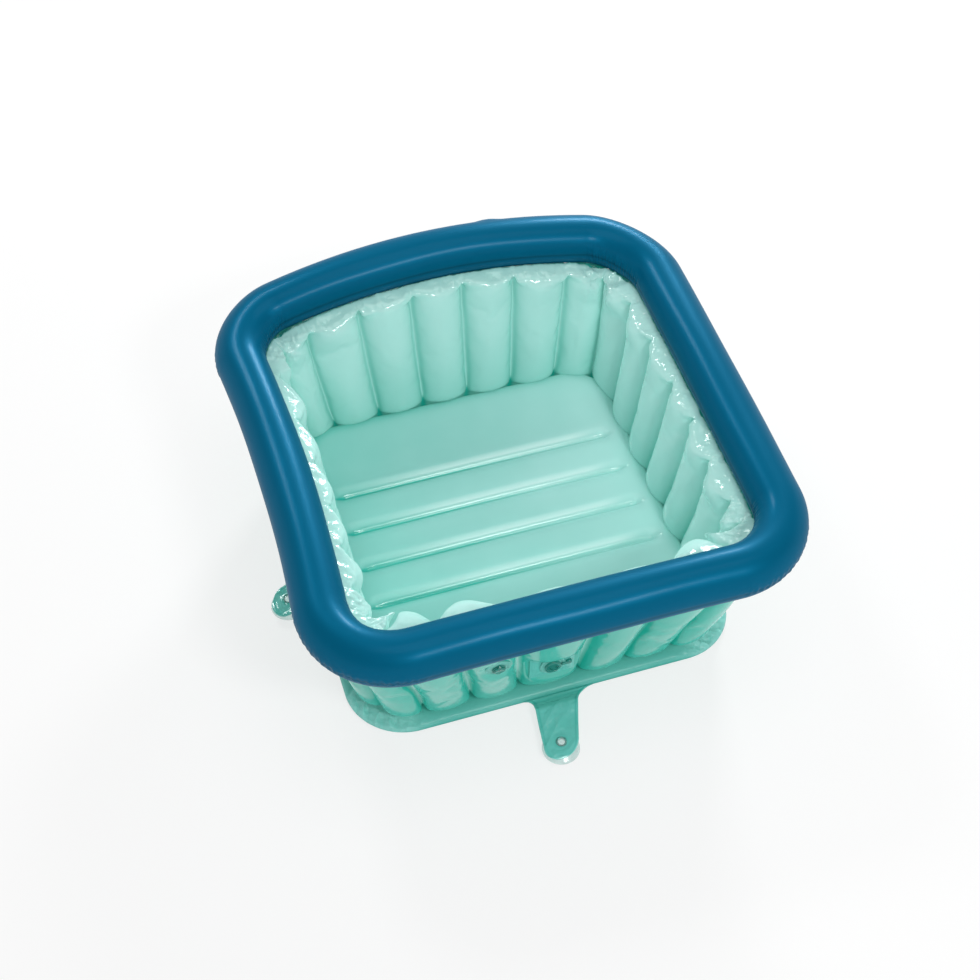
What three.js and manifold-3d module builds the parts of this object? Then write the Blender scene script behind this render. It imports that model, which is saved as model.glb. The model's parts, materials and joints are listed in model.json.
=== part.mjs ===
// Inflatable square bathtub: a fat top ring over a ribbed wall and a beamed floor,
// with an air valve for the ring and one for the wall, a plugged drain and four suction-cup tabs.
// Millimetres, +Z up. The origin is on the ground under the middle of the base, and the front faces -Y.
// Each air chamber is a solid of the chamber's outer form.
import * as THREE from "three";
import { mergeVertices } from "three/addons/utils/BufferGeometryUtils.js";
import Module from "manifold-3d";

const wasm = await Module();
wasm.setup();

// Fits
const seatGap = 0.3;
const cutOverrun = 6;

// Top ring: the centre line of its tube
const ringTubeRadius = 30;
const ringHalfX = 267;
const ringHalfY = 260;
const ringHeight = 215;
const ringShiftY = -12.5;
const ringCornerFrontRight = 80;
const ringCornerBackRight = 71;
const ringCornerBackLeft = 66;
const ringCornerFrontLeft = 90;

// How far the middle of each side of the ring swells out, and how far the back one rises
const ringBowFront = -3;
const ringBowRight = 2.4;
const ringBowBack = 30;
const ringBowLeft = -15.7;
const ringRiseBack = 24;

// Base: outline, bottom sheet, the low band outside the ribs' feet and the kerb inside them
const baseHalf = 238;
const baseCornerRadius = 72;
const baseSheetThickness = 1.5;
const baseSheetInset = 2;
const bandEdgeRadius = 2;
const bandTopHeight = 14;
const bandDraft = 1.5;
const bandShoulderInset = 5;
const bandShoulderDrop = 2;
const kerbHeight = 42;

// A smaller outline inside another one has its corners tightened by this share of the inset
const baseCornerShare = 0.6;
const headCornerShare = 1;

// Wall of upright air ribs between the band and the ring
const wallFootInset = 31;
const wallHeadInset = 25;
const wallHeadDrop = 14;
const wallWeldHalf = 1;
const ribBulge = 22;
const ribPitch = 57;
const drainRibWidth = 73;
const drainRibCentre = -5.5;
const rightRibCentre = -14;
const backRibCentre = 2.5;
const leftRibCentre = 14;
const ribEndPower = 5;
const ribFootPower = 6;

// Near the ring the seams between the ribs fade out into a shoulder, fuller at the ribs' middles
const shoulderStart = 0.85;
const shoulderEnd = 0.95;
const shoulderFullness = 0.62;
const shoulderSwell = 0.2;

// Floor chamber with raised beams between weld lines that run from left to right
const floorInset = 40;
const floorCrestHeight = 52;
const floorWeldDepth = 7;
const floorEdgeRadius = 8;
const floorBackWeldY = 87;
const floorWeldPitch = 57.3;
const floorWeldCount = 5;
const floorEdgeOverrun = 25;
const beamPower = 0.6;

// Suction-cup tabs round the base
const tabThickness = 1.6;
const tabRootHeight = 5;
const tabRootHalfWidth = 23;
const tabTipRadius = 20;
const tabNearFillet = 10;
const tabFarFillet = 20;
const tabRiseStart = 2;
const tabRiseRun = 18;
const longTabReach = 68;
const shortTabReach = 32;
const frontTabSkewShare = -0.27;
const leftTabSkewShare = 0.35;
const leftTabShift = 8;

// Suction cups under the tabs
const cupRadius = 22;
const cupLipThickness = 0.9;
const cupDomeHeight = 9.4;
const cupWall = 2.4;
const cupNeckRadius = 3.8;
const cupNeckLength = 3;
const cupButtonRadius = 6.5;
const cupButtonHeight = 2.8;

// Air valves
const valveFlangeRadius = 15;
const valveFlangeThickness = 1.6;
const valveCollarWall = 1.7;
const valveCollarDepth = 12;
const stemRadius = 6;
const stemWall = 2.6;
const stemDepth = 22;
const stemRimRadius = 8.2;
const stemRimThickness = 1.7;
const flapThickness = 0.8;
const flapOverlap = 0.5;
const flapSwingRoom = 5;
const capRadius = 7;
const capThickness = 1.7;
const capNoseRadius = 2.8;
const capNoseTipRadius = 2.2;
const capNoseDepth = 3.3;
const capHingeReach = 9.6;
const strapWidth = 4;
const strapThickness = 1;
const wallValveX = -71;
const wallValveHeight = 117;
const ringValvePlace = -0.4;
const ringValveSink = 3;

// Drain through the foot of the front wall
const drainX = -7;
const drainHeight = 66;
const drainBoreRadius = 7;
const drainTubeWall = 2.5;
const drainFlangeRadius = 15;
const drainFlangeThickness = 1.6;
const drainFaceSink = 5.5;
const drainPatchWidth = 54;
const drainPatchHeight = 38;
const drainPatchCorner = 9;
const drainPatchThickness = 3;
const drainInnerRadius = 13.5;
const drainInnerThickness = 1.6;
const drainInnerSink = 3.5;
const plugHeadRadius = 10;
const plugHeadThickness = 3;
const plugNoseDepth = 12;
const plugNoseTaper = 0.8;
const plugLoopRadius = 5;
const plugLoopWire = 1.2;
const tetherThickness = 1;
const tetherWidth = 4;
const tetherAnchorReach = 20;
const tetherAnchorRadius = 3.5;

// Facets
const ringSides = 14;
const roundSides = 20;
const cupSides = 16;
const arcSteps = 4;
const bowSteps = 4;
const ribSteps = 6;
const wallRows = 7;
const beamSteps = 6;
const filletSteps = 5;
const tipSteps = 6;
const eighthTurn = Math.PI / 4;

// Colours and finishes
const finish = (color, roughness) => new THREE.MeshStandardMaterial({ color, roughness, metalness: 0 });
const ringBlue = () => finish(0x02779b, 0.35);
const paleAqua = () => finish(0x92d0cb, 0.3);
const deepAqua = () => finish(0x48b3a8, 0.3);
const floorAqua = () => finish(0x84cfc7, 0.32);
const clearVinyl = () => finish(0xdcebe9, 0.15);
const valveAqua = () => finish(0x7cc8bd, 0.35);

// Closed surfaces from loops of points
function closedGeometry(positions, faces) {
  const geometry = new THREE.BufferGeometry();
  geometry.setAttribute("position", new THREE.Float32BufferAttribute(positions, 3));
  geometry.setIndex(faces);
  return facingOut(geometry);
}

function facingOut(geometry) {
  const index = geometry.index.array;
  const corner = [0, 1, 2].map(() => new THREE.Vector3());
  let volume = 0;
  for (let i = 0; i < index.length; i += 3) {
    corner.forEach((c, k) => c.fromBufferAttribute(geometry.attributes.position, index[i + k]));
    volume += corner[0].dot(corner[1].clone().cross(corner[2]));
  }
  if (volume < 0) {
    for (let i = 0; i < index.length; i += 3) {
      [index[i + 1], index[i + 2]] = [index[i + 2], index[i + 1]];
    }
  }
  geometry.computeVertexNormals();
  return geometry;
}

// Skins equal closed sections in turn. An open loft is closed by ladders that pair the first
// point of its end section with the last, the second with the last but one, and so on.
function loft(sections, isRing) {
  const count = sections[0].length;
  const positions = sections.flat().flatMap((p) => [p.x, p.y, p.z]);
  const faces = [];
  const quad = (a, b, c, d) => faces.push(a, b, c, a, c, d);
  const spans = isRing ? sections.length : sections.length - 1;
  for (let i = 0; i < spans; i++) {
    const here = i * count;
    const next = ((i + 1) % sections.length) * count;
    for (let k = 0; k < count; k++) {
      const l = (k + 1) % count;
      quad(here + k, next + k, next + l, here + l);
    }
  }
  if (!isRing) {
    const last = (sections.length - 1) * count;
    for (let k = 0; k < count / 2 - 1; k++) {
      quad(k, k + 1, count - 2 - k, count - 1 - k);
      quad(last + count - 1 - k, last + count - 2 - k, last + k + 1, last + k);
    }
  }
  return closedGeometry(positions, faces);
}

// Revolves a profile of [radius, height] pairs about Z. An open one starts and ends on the axis.
function turned(profile, sides = roundSides) {
  const points = profile.map(([radius, height]) => new THREE.Vector2(radius, height));
  const isClosed = profile[0][0] > 0;
  if (isClosed) points.push(points[0].clone());
  return welded(new THREE.LatheGeometry(points, sides).rotateX(Math.PI / 2));
}

function welded(geometry) {
  const bare = geometry.clone();
  bare.deleteAttribute("normal");
  bare.deleteAttribute("uv");
  const merged = mergeVertices(bare, seatGap / 1000);
  const index = merged.index.array;
  const kept = [];
  for (let i = 0; i < index.length; i += 3) {
    const [a, b, c] = index.slice(i, i + 3);
    if (a !== b && b !== c && c !== a) kept.push(a, b, c);
  }
  merged.setIndex(kept);
  return facingOut(merged);
}

// Cuts and joins
function solidOf(geometry) {
  const merged = welded(geometry);
  return new wasm.Manifold(
    new wasm.Mesh({
      numProp: 3,
      vertProperties: new Float32Array(merged.attributes.position.array),
      triVerts: new Uint32Array(merged.index.array),
    }),
  );
}

function geometryOf(solid) {
  const mesh = solid.getMesh();
  return closedGeometry(Array.from(mesh.vertProperties), Array.from(mesh.triVerts));
}

const cut = (body, ...tools) =>
  geometryOf(tools.reduce((rest, tool) => rest.subtract(solidOf(tool)), solidOf(body)));
const join = (first, ...others) =>
  geometryOf(others.reduce((sum, body) => sum.add(solidOf(body)), solidOf(first)));
const overlapOf = (a, b) => geometryOf(solidOf(a).intersect(solidOf(b)));

// A cylinder about Z between two heights
const drum = (radius, low, high, sides = roundSides) =>
  new THREE.CylinderGeometry(radius, radius, high - low, sides)
    .rotateX(Math.PI / 2)
    .translate(0, 0, (low + high) / 2);

const block = (sizeX, sizeY, low, high) =>
  new THREE.BoxGeometry(sizeX, sizeY, high - low).translate(0, 0, (low + high) / 2);

// Rounded-square outlines. Sides are 0 front, 1 right, 2 back and 3 left, and are run anticlockwise.
// A place on a side is 0 at its middle, -1 and 1 where the corners start, and -2 and 2 halfway round them.
const plainBows = [0, 0, 0, 0];
const baseOutline = {
  halfX: baseHalf,
  halfY: baseHalf,
  shiftY: 0,
  height: 0,
  rise: 0,
  corners: [baseCornerRadius, baseCornerRadius, baseCornerRadius, baseCornerRadius],
  bows: plainBows,
};
const ringOutline = {
  halfX: ringHalfX,
  halfY: ringHalfY,
  shiftY: ringShiftY,
  height: ringHeight,
  rise: ringRiseBack,
  corners: [ringCornerFrontRight, ringCornerBackRight, ringCornerBackLeft, ringCornerFrontLeft],
  bows: [ringBowFront, ringBowRight, ringBowBack, ringBowLeft],
};

const insetOutline = (outline, inset, height, cornerShare = baseCornerShare) => ({
  ...outline,
  halfX: outline.halfX - inset,
  halfY: outline.halfY - inset,
  height,
  corners: outline.corners.map((radius) => radius - cornerShare * inset),
});

const cornerAt = (outline, side, place) => outline.corners[place < 0 ? (side + 3) % 4 : side];
const runAcross = (outline, side) => (side % 2 ? outline.halfY : outline.halfX);

function outlinePoint(outline, side, place) {
  const reach = side % 2 ? outline.halfX : outline.halfY;
  const radius = cornerAt(outline, side, place);
  const run = Math.min(Math.abs(place), 1);
  const angle = Math.max(Math.abs(place) - 1, 0) * eighthTurn;
  const along = Math.sign(place) * ((runAcross(outline, side) - radius) * run + radius * Math.sin(angle));
  const out = reach - radius * (1 - Math.cos(angle));
  const x = [along, out, -along, -out][side];
  const y = [-out, along, out, -along][side];
  const u = x / outline.halfX;
  const v = y / outline.halfY;
  const fadeX = Math.max(1 - u * u, 0);
  const fadeY = Math.max(1 - v * v, 0);
  const swell = [-v, u, v, -u].map((part, k) => Math.max(part, 0) ** 3 * (k % 2 ? fadeY : fadeX));
  const bow = swell.map((share, k) => share * outline.bows[k]);
  return new THREE.Vector3(
    x + bow[1] - bow[3],
    y + outline.shiftY + bow[2] - bow[0],
    outline.height + outline.rise * swell[2],
  );
}

// The level direction out of the tub at a place on a run of points
function outwardAt(pointAt, side, place) {
  const nudgeShare = 0.01;
  const run = pointAt(side, place + nudgeShare).sub(pointAt(side, place - nudgeShare));
  return new THREE.Vector3(run.y, -run.x, 0).normalize();
}

function placeAtDistance(outline, side, distance) {
  const radius = cornerAt(outline, side, distance);
  const straight = runAcross(outline, side) - radius;
  const beyond = Math.abs(distance) - straight;
  const place = beyond < 0 ? Math.abs(distance) / straight : 1 + beyond / (radius * eighthTurn);
  return Math.sign(distance) * place;
}

function halfSideLength(outline, side, place) {
  const radius = cornerAt(outline, side, place);
  return runAcross(outline, side) - radius + radius * eighthTurn;
}

// Stations all round an outline, each side starting halfway round its first corner
function stationsRound(straightSteps) {
  const places = [];
  for (let k = 0; k < arcSteps; k++) places.push(-2 + k / arcSteps);
  for (let k = 0; k < 2 * straightSteps; k++) places.push(-1 + k / straightSteps);
  for (let k = 0; k < arcSteps; k++) places.push(1 + k / arcSteps);
  return [0, 1, 2, 3].flatMap((side) => places.map((place) => ({ side, place })));
}

// Tube along the top ring's centre line
const ringPoint = (side, place) => outlinePoint(ringOutline, side, place);

function ringTube(radius) {
  const sections = stationsRound(bowSteps).map(({ side, place }) => {
    const centre = ringPoint(side, place);
    const outward = outwardAt(ringPoint, side, place);
    return Array.from({ length: ringSides }, (_, k) => {
      const angle = (2 * Math.PI * k) / ringSides;
      return centre
        .clone()
        .addScaledVector(outward, radius * Math.cos(angle))
        .add(new THREE.Vector3(0, 0, radius * Math.sin(angle)));
    });
  });
  return loft(sections, true);
}

// Ribbed wall. Each side is one panel from corner seam to corner seam.
const wallFootOutline = insetOutline(baseOutline, wallFootInset, bandTopHeight + seatGap);
const wallHeadHeight = ringHeight - wallHeadDrop;
const wallHeadOutline = insetOutline(ringOutline, wallHeadInset, wallHeadHeight, headCornerShare);
const middleRibs = [
  [drainRibCentre, drainRibWidth],
  [rightRibCentre, ribPitch],
  [backRibCentre, ribPitch],
  [leftRibCentre, ribPitch],
];

function seamDistances(side) {
  const [centre, width] = middleRibs[side];
  const first = -halfSideLength(wallFootOutline, side, -1) + seatGap / 2;
  const last = halfSideLength(wallFootOutline, side, 1) - seatGap / 2;
  const left = [2, 1, 0].map((k) => centre - width / 2 - k * ribPitch);
  const right = [0, 1, 2].map((k) => centre + width / 2 + k * ribPitch);
  return [first, ...left, ...right, last];
}

const wallPoint = (side, place, share) =>
  outlinePoint(wallFootOutline, side, place).lerp(outlinePoint(wallHeadOutline, side, place), share);

// A rib's outer skin bulges from its foot up, and its inner skin from the top of the kerb up
const kerbShare = (kerbHeight - bandTopHeight) / (wallHeadHeight - wallFootOutline.height);
const fullnessAt = (share, power) => Math.sqrt(Math.max(1 - Math.abs(2 * share - 1) ** power, 0));
const outerHalf = (share, swell) => wallWeldHalf + ribBulge * swell * fullnessAt(share, ribFootPower);

function innerHalf(share, swell) {
  const shareAboveKerb = Math.max((share - kerbShare) / (1 - kerbShare), 0);
  return wallWeldHalf + ribBulge * swell * fullnessAt(shareAboveKerb, ribEndPower);
}

function shoulderSwellAt(share, swell) {
  const shoulder = THREE.MathUtils.smoothstep(share, shoulderStart, shoulderEnd);
  return THREE.MathUtils.lerp(swell, shoulderFullness + shoulderSwell * swell, shoulder);
}

const rowsFrom = (start, steps) =>
  Array.from({ length: steps + 1 }, (_, k) => 1 - ((1 - start) * (1 + Math.cos((Math.PI * k) / steps))) / 2);

// The ribs' heads are pressed flat where they meet the ring
function wallPanel(side, pockets) {
  const seams = seamDistances(side);
  const columns = [];
  for (let rib = 0; rib + 1 < seams.length; rib++) {
    for (let k = 0; k < ribSteps; k++) {
      const angle = (Math.PI * k) / ribSteps;
      const distance = seams[rib] + ((seams[rib + 1] - seams[rib]) * (1 - Math.cos(angle))) / 2;
      columns.push({ distance, swell: Math.sin(angle) });
    }
  }
  columns.push({ distance: seams[seams.length - 1], swell: 0 });
  const outerRows = rowsFrom(0, wallRows);
  const innerRows = [0, ...rowsFrom(kerbShare, wallRows - 1)];
  const sections = columns.map(({ distance, swell }) => {
    const place = placeAtDistance(wallFootOutline, side, distance);
    const skin = (rows, way, halfAt) =>
      rows.map((share) => {
        const outward = outwardAt((s, p) => wallPoint(s, p, share), side, place);
        const half = halfAt(share, shoulderSwellAt(share, swell));
        return wallPoint(side, place, share).addScaledVector(outward, way * half);
      });
    return [...skin(outerRows, 1, outerHalf), ...skin(innerRows, -1, innerHalf).reverse()];
  });
  return cut(loft(sections, false), ringTube(ringTubeRadius + seatGap), ...pockets);
}

// Low smooth band round the base, with a kerb between the ribs' feet and the floor
const bandFoot = baseSheetThickness + seatGap;
const floorOutline = insetOutline(baseOutline, floorInset, bandFoot);

function baseBand() {
  const profile = [
    [bandEdgeRadius, bandFoot],
    [0, bandFoot + bandEdgeRadius],
    [0, tabRootHeight + 2 * tabThickness],
    [bandDraft, (bandTopHeight + bandFoot) / 2],
    [bandShoulderInset, bandTopHeight - bandShoulderDrop],
    [wallFootInset - wallWeldHalf, bandTopHeight],
    [wallFootInset + wallWeldHalf + seatGap, bandTopHeight],
    [wallFootInset + wallWeldHalf + seatGap, kerbHeight],
    [floorInset - seatGap, kerbHeight],
    [floorInset - seatGap, bandFoot],
  ];
  const sections = stationsRound(1).map(({ side, place }) =>
    profile.map(([inset, height]) => outlinePoint(insetOutline(baseOutline, inset, height), side, place)),
  );
  return loft(sections, true);
}

function roundedSquare(half, radius) {
  const shape = new THREE.Shape();
  const start = half - radius;
  shape.moveTo(half, -start);
  shape.lineTo(half, start);
  shape.absarc(start, start, radius, 0, Math.PI / 2);
  shape.lineTo(-start, half);
  shape.absarc(-start, start, radius, Math.PI / 2, Math.PI);
  shape.lineTo(-half, -start);
  shape.absarc(-start, -start, radius, Math.PI, 1.5 * Math.PI);
  shape.lineTo(start, -half);
  shape.absarc(start, -start, radius, 1.5 * Math.PI, 2 * Math.PI);
  return shape;
}

function baseSheet() {
  const shape = roundedSquare(baseHalf - baseSheetInset, baseCornerRadius - baseCornerShare * baseSheetInset);
  const settings = { depth: baseSheetThickness, bevelEnabled: false, curveSegments: 2 * arcSteps };
  return welded(new THREE.ExtrudeGeometry(shape, settings));
}

// Floor chamber: a slab with raised beams, rounded off to the outline inside the band
function floorPad() {
  const half = floorOutline.halfX;
  const edge = half + floorEdgeOverrun;
  const welds = Array.from({ length: floorWeldCount }, (_, k) => floorBackWeldY - k * floorWeldPitch);
  const bounds = [edge, ...welds, -edge];
  const beams = new THREE.Shape();
  beams.moveTo(-edge, bandFoot - cutOverrun);
  beams.lineTo(edge, bandFoot - cutOverrun);
  for (let beam = 0; beam + 1 < bounds.length; beam++) {
    for (let k = 0; k < beamSteps; k++) {
      const share = (1 - Math.cos((Math.PI * k) / beamSteps)) / 2;
      const y = bounds[beam] + (bounds[beam + 1] - bounds[beam]) * share;
      const lift = floorWeldDepth * Math.sin(Math.PI * share) ** beamPower;
      beams.lineTo(y, floorCrestHeight - floorWeldDepth + lift);
    }
  }
  beams.lineTo(-edge, floorCrestHeight - floorWeldDepth);
  const slab = new THREE.ExtrudeGeometry(beams, { depth: 2 * edge, bevelEnabled: false });
  const axes = [new THREE.Vector3(0, 1, 0), new THREE.Vector3(0, 0, 1), new THREE.Vector3(1, 0, 0)];
  slab.translate(0, 0, -edge).applyMatrix4(new THREE.Matrix4().makeBasis(...axes));
  const shape = roundedSquare(half, floorOutline.corners[0]);
  const settings = {
    depth: floorCrestHeight + seatGap - bandFoot - 2 * floorEdgeRadius,
    bevelThickness: floorEdgeRadius,
    bevelSize: floorEdgeRadius,
    bevelOffset: -floorEdgeRadius,
    bevelSegments: 3,
    curveSegments: arcSteps,
  };
  const pad = new THREE.ExtrudeGeometry(shape, settings).translate(0, 0, bandFoot + floorEdgeRadius);
  return overlapOf(slab, pad);
}

// Suction-cup tabs, drawn as the front one: out is -Y, and the root's middle is at the origin
const tabCupTop = cupDomeHeight + cupNeckLength + tabThickness;

function tabSheet(reach, skewShare) {
  const outs = [];
  for (let k = 0; k <= filletSteps; k++) {
    outs.push(tabFarFillet * (1 - Math.cos((k * Math.PI) / 2 / filletSteps)));
  }
  for (let k = 1; k < filletSteps; k++) {
    outs.push(tabFarFillet + ((reach - tabFarFillet) * k) / filletSteps);
  }
  const filletAt = (radius, out) => radius - Math.sqrt(radius ** 2 - Math.max(radius - out, 0) ** 2);
  const rows = outs.map((out) => {
    const half = tabRootHalfWidth + ((tabTipRadius - tabRootHalfWidth) * out) / reach;
    return { out, near: half + filletAt(tabNearFillet, out), far: half + filletAt(tabFarFillet, out) };
  });
  for (let k = 0; k < tipSteps; k++) {
    const angle = (k * Math.PI) / 2 / tipSteps;
    const half = tabTipRadius * Math.cos(angle);
    rows.push({ out: reach + tabTipRadius * Math.sin(angle), near: half, far: half });
  }
  const sections = rows.map(({ out, near, far }) => {
    const climb = THREE.MathUtils.smoothstep(out, tabRiseStart, tabRiseStart + tabRiseRun);
    const middle = tabRootHeight + (tabCupTop - tabThickness / 2 - tabRootHeight) * climb;
    const low = middle - tabThickness / 2;
    const high = middle + tabThickness / 2;
    const shift = skewShare * out;
    const y = -out - seatGap;
    return [
      new THREE.Vector3(shift - near, y, low),
      new THREE.Vector3(shift + far, y, low),
      new THREE.Vector3(shift + far, y, high),
      new THREE.Vector3(shift - near, y, high),
    ];
  });
  const neckHole = drum(cupNeckRadius + seatGap, cupDomeHeight - cutOverrun, tabCupTop + cutOverrun);
  neckHole.translate(skewShare * reach, -reach - seatGap, 0);
  return cut(loft(sections, false), neckHole);
}

function suctionCup() {
  const dome = (radius, rise) => rise * (1 - (radius / cupRadius) ** 2);
  const ribs = [0.4, 0.75].map((share) => cupRadius * share);
  const buttonFoot = tabCupTop + seatGap;
  const profile = [
    [0, buttonFoot + cupButtonHeight],
    [cupButtonRadius * 0.7, buttonFoot + cupButtonHeight],
    [cupButtonRadius, buttonFoot + cupButtonHeight / 2],
    [cupButtonRadius, buttonFoot],
    [cupNeckRadius, buttonFoot],
    [cupNeckRadius, cupDomeHeight],
    ...ribs.map((radius) => [radius, cupLipThickness + dome(radius, cupDomeHeight - cupLipThickness)]),
    [cupRadius, cupLipThickness],
    [cupRadius, 0],
    ...ribs.reverse().map((radius) => [radius, dome(radius, cupDomeHeight - cupWall)]),
    [0, cupDomeHeight - cupWall],
  ];
  return turned(profile, cupSides);
}

const tabPlans = [
  { reach: longTabReach, skewShare: frontTabSkewShare, shift: 0 },
  { reach: shortTabReach, skewShare: 0, shift: 0 },
  { reach: longTabReach, skewShare: 0, shift: 0 },
  { reach: shortTabReach, skewShare: leftTabSkewShare, shift: leftTabShift },
];
const sideNames = ["front", "right", "back", "left"];

// Air valve, drawn with its axis along Z: the flange's outer face is at height 0 and out is +Z
const collarRadius = stemRadius + seatGap + valveCollarWall;
const rimTop = seatGap + stemRimThickness;
const capFoot = rimTop + seatGap;

function valvePocket() {
  const recess = drum(valveFlangeRadius + seatGap, -valveFlangeThickness - seatGap, ringTubeRadius);
  const depth = stemDepth + flapThickness + flapSwingRoom + seatGap;
  return join(recess, drum(collarRadius + seatGap, -depth, 0));
}

const valveFlange = () =>
  turned([
    [stemRadius + seatGap, 0],
    [valveFlangeRadius, 0],
    [valveFlangeRadius, -valveFlangeThickness],
    [collarRadius, -valveFlangeThickness],
    [collarRadius, -valveCollarDepth],
    [stemRadius + seatGap, -valveCollarDepth],
  ]);

function valveStem() {
  const bore = stemRadius - stemWall;
  const lugStart = bore + stemWall / 2;
  const lug = block(strapWidth, capHingeReach - lugStart, seatGap, rimTop);
  lug.translate(0, (capHingeReach + lugStart) / 2, 0);
  const tube = turned([
    [bore, rimTop],
    [stemRimRadius, rimTop],
    [stemRimRadius, seatGap],
    [stemRadius, seatGap],
    [stemRadius, -stemDepth],
    [bore, -stemDepth],
  ]);
  return join(tube, lug);
}

const flapRadius = stemRadius - stemWall + flapOverlap;
const valveFlap = () => drum(flapRadius, -stemDepth - seatGap - flapThickness, -stemDepth - seatGap);

function valveCap() {
  const button = turned([
    [0, capFoot - capNoseDepth],
    [capNoseTipRadius, capFoot - capNoseDepth],
    [capNoseRadius, capFoot],
    [capRadius, capFoot],
    [capRadius, capFoot + capThickness / 2],
    [capRadius - capThickness / 2, capFoot + capThickness],
    [0, capFoot + capThickness],
  ]);
  const strapStart = capRadius / 2;
  const strap = block(strapWidth, capHingeReach - strapStart, capFoot, capFoot + strapThickness);
  strap.translate(0, (capHingeReach + strapStart) / 2, 0);
  return join(button, strap);
}

// Places where the valves and the drain sit, each with +Z out of the tub
function standing(position, outward) {
  const up = new THREE.Vector3(0, 0, 1);
  const right = new THREE.Vector3().crossVectors(up, outward).normalize();
  const rise = new THREE.Vector3().crossVectors(outward, right);
  return new THREE.Matrix4().makeBasis(right, rise, outward).setPosition(position);
}

function wallValveSeat() {
  const side = 0;
  const place = placeAtDistance(wallFootOutline, side, wallValveX);
  const span = wallHeadOutline.height - wallFootOutline.height;
  const share = (wallValveHeight - wallFootOutline.height) / span;
  const foot = wallPoint(side, place, 0);
  const head = wallPoint(side, place, 1);
  const lean = head.sub(foot).setX(0).normalize();
  const outward = new THREE.Vector3(0, -lean.z, lean.y);
  const position = wallPoint(side, place, share).addScaledVector(outward, wallWeldHalf + ribBulge);
  return standing(position, outward);
}

function ringValveSeat() {
  const side = 2;
  const outward = outwardAt(ringPoint, side, ringValvePlace);
  const position = ringPoint(side, ringValvePlace).addScaledVector(outward, ringTubeRadius - ringValveSink);
  return standing(position, outward);
}

// Drain, drawn like the valves: the patch's outer face is at height 0
const drainTubeRadius = drainBoreRadius + drainTubeWall;
const drainSpan = wallHeadOutline.height - wallFootOutline.height;
const drainShare = (drainHeight - wallFootOutline.height) / drainSpan;
const drainPlace = placeAtDistance(wallFootOutline, 0, drainX);
const drainWallY = wallPoint(0, drainPlace, drainShare).y;
const drainFaceY = drainWallY - outerHalf(drainShare, 1) + drainFaceSink;
const drainInnerDepth = drainWallY + innerHalf(drainShare, 1) - drainInnerSink - drainFaceY;
const drainSeat = standing(new THREE.Vector3(drainX, drainFaceY, drainHeight), new THREE.Vector3(0, -1, 0));

function patchBlock(spare, low, high) {
  const halfWidth = drainPatchWidth / 2 + spare;
  const halfHeight = drainPatchHeight / 2 + spare;
  const shape = new THREE.Shape();
  const sign = [1, 1, -1, -1];
  const rise = [-1, 1, 1, -1];
  sign.forEach((way, k) => {
    const x = way * (halfWidth - drainPatchCorner);
    const y = rise[k] * (halfHeight - drainPatchCorner);
    shape.absarc(x, y, drainPatchCorner, ((k - 1) * Math.PI) / 2, (k * Math.PI) / 2);
  });
  const settings = { depth: high - low, bevelEnabled: false, curveSegments: arcSteps };
  return new THREE.ExtrudeGeometry(shape, settings).translate(0, 0, low);
}

const drainPatch = () =>
  cut(
    patchBlock(0, -drainPatchThickness, 0),
    drum(drainTubeRadius + seatGap, -drainPatchThickness - cutOverrun, cutOverrun),
  );

function drainPocket() {
  const patchRecess = patchBlock(seatGap, -drainPatchThickness - seatGap, 2 * ribBulge);
  const passage = drum(drainTubeRadius + seatGap, -2 * drainInnerDepth, 0);
  const innerRecess = drum(drainInnerRadius + seatGap, -2 * drainInnerDepth, -drainInnerDepth);
  return [patchRecess, passage, innerRecess];
}

const drainOutlet = () =>
  turned([
    [drainBoreRadius, seatGap + drainFlangeThickness],
    [drainFlangeRadius, seatGap + drainFlangeThickness],
    [drainFlangeRadius, seatGap],
    [drainTubeRadius, seatGap],
    [drainTubeRadius, -drainInnerDepth - seatGap - drainInnerThickness],
    [drainBoreRadius, -drainInnerDepth - seatGap - drainInnerThickness],
  ]);

const drainInnerRing = () =>
  turned([
    [drainTubeRadius + seatGap, -drainInnerDepth - seatGap],
    [drainInnerRadius, -drainInnerDepth - seatGap],
    [drainInnerRadius, -drainInnerDepth - seatGap - drainInnerThickness],
    [drainTubeRadius + seatGap, -drainInnerDepth - seatGap - drainInnerThickness],
  ]);

const plugFoot = drainFlangeThickness + 2 * seatGap;

function drainPlug() {
  const nose = drainBoreRadius - seatGap;
  const head = turned([
    [0, plugFoot - plugNoseDepth],
    [nose - plugNoseTaper, plugFoot - plugNoseDepth],
    [nose, plugFoot],
    [plugHeadRadius, plugFoot],
    [plugHeadRadius, plugFoot + plugHeadThickness / 2],
    [plugHeadRadius - plugHeadThickness / 2, plugFoot + plugHeadThickness],
    [0, plugFoot + plugHeadThickness],
  ]);
  const arc = new THREE.EllipseCurve(0, 0, plugLoopRadius, plugLoopRadius, 0, Math.PI);
  const points = arc.getPoints(2 * arcSteps).map((p) => new THREE.Vector3(p.x, 0, p.y - plugLoopWire));
  const path = new THREE.CatmullRomCurve3(points);
  const wire = new THREE.Shape().absarc(0, 0, plugLoopWire, 0, 2 * Math.PI);
  const settings = { steps: 2 * arcSteps, extrudePath: path, curveSegments: arcSteps, bevelEnabled: false };
  const loop = new THREE.ExtrudeGeometry(wire, settings).translate(0, 0, plugFoot + plugHeadThickness);
  return join(head, loop);
}

function drainTether() {
  const low = plugFoot + seatGap / 2;
  const high = low + tetherThickness;
  const start = plugHeadRadius + seatGap;
  const strap = block(tetherAnchorReach - start, tetherWidth, low, high);
  strap.translate((tetherAnchorReach + start) / 2, 0, 0);
  const anchor = drum(tetherAnchorRadius, seatGap, high).translate(tetherAnchorReach, 0, 0);
  return join(strap, anchor);
}

// Assembly
const bathtub = new THREE.Group();

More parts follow.
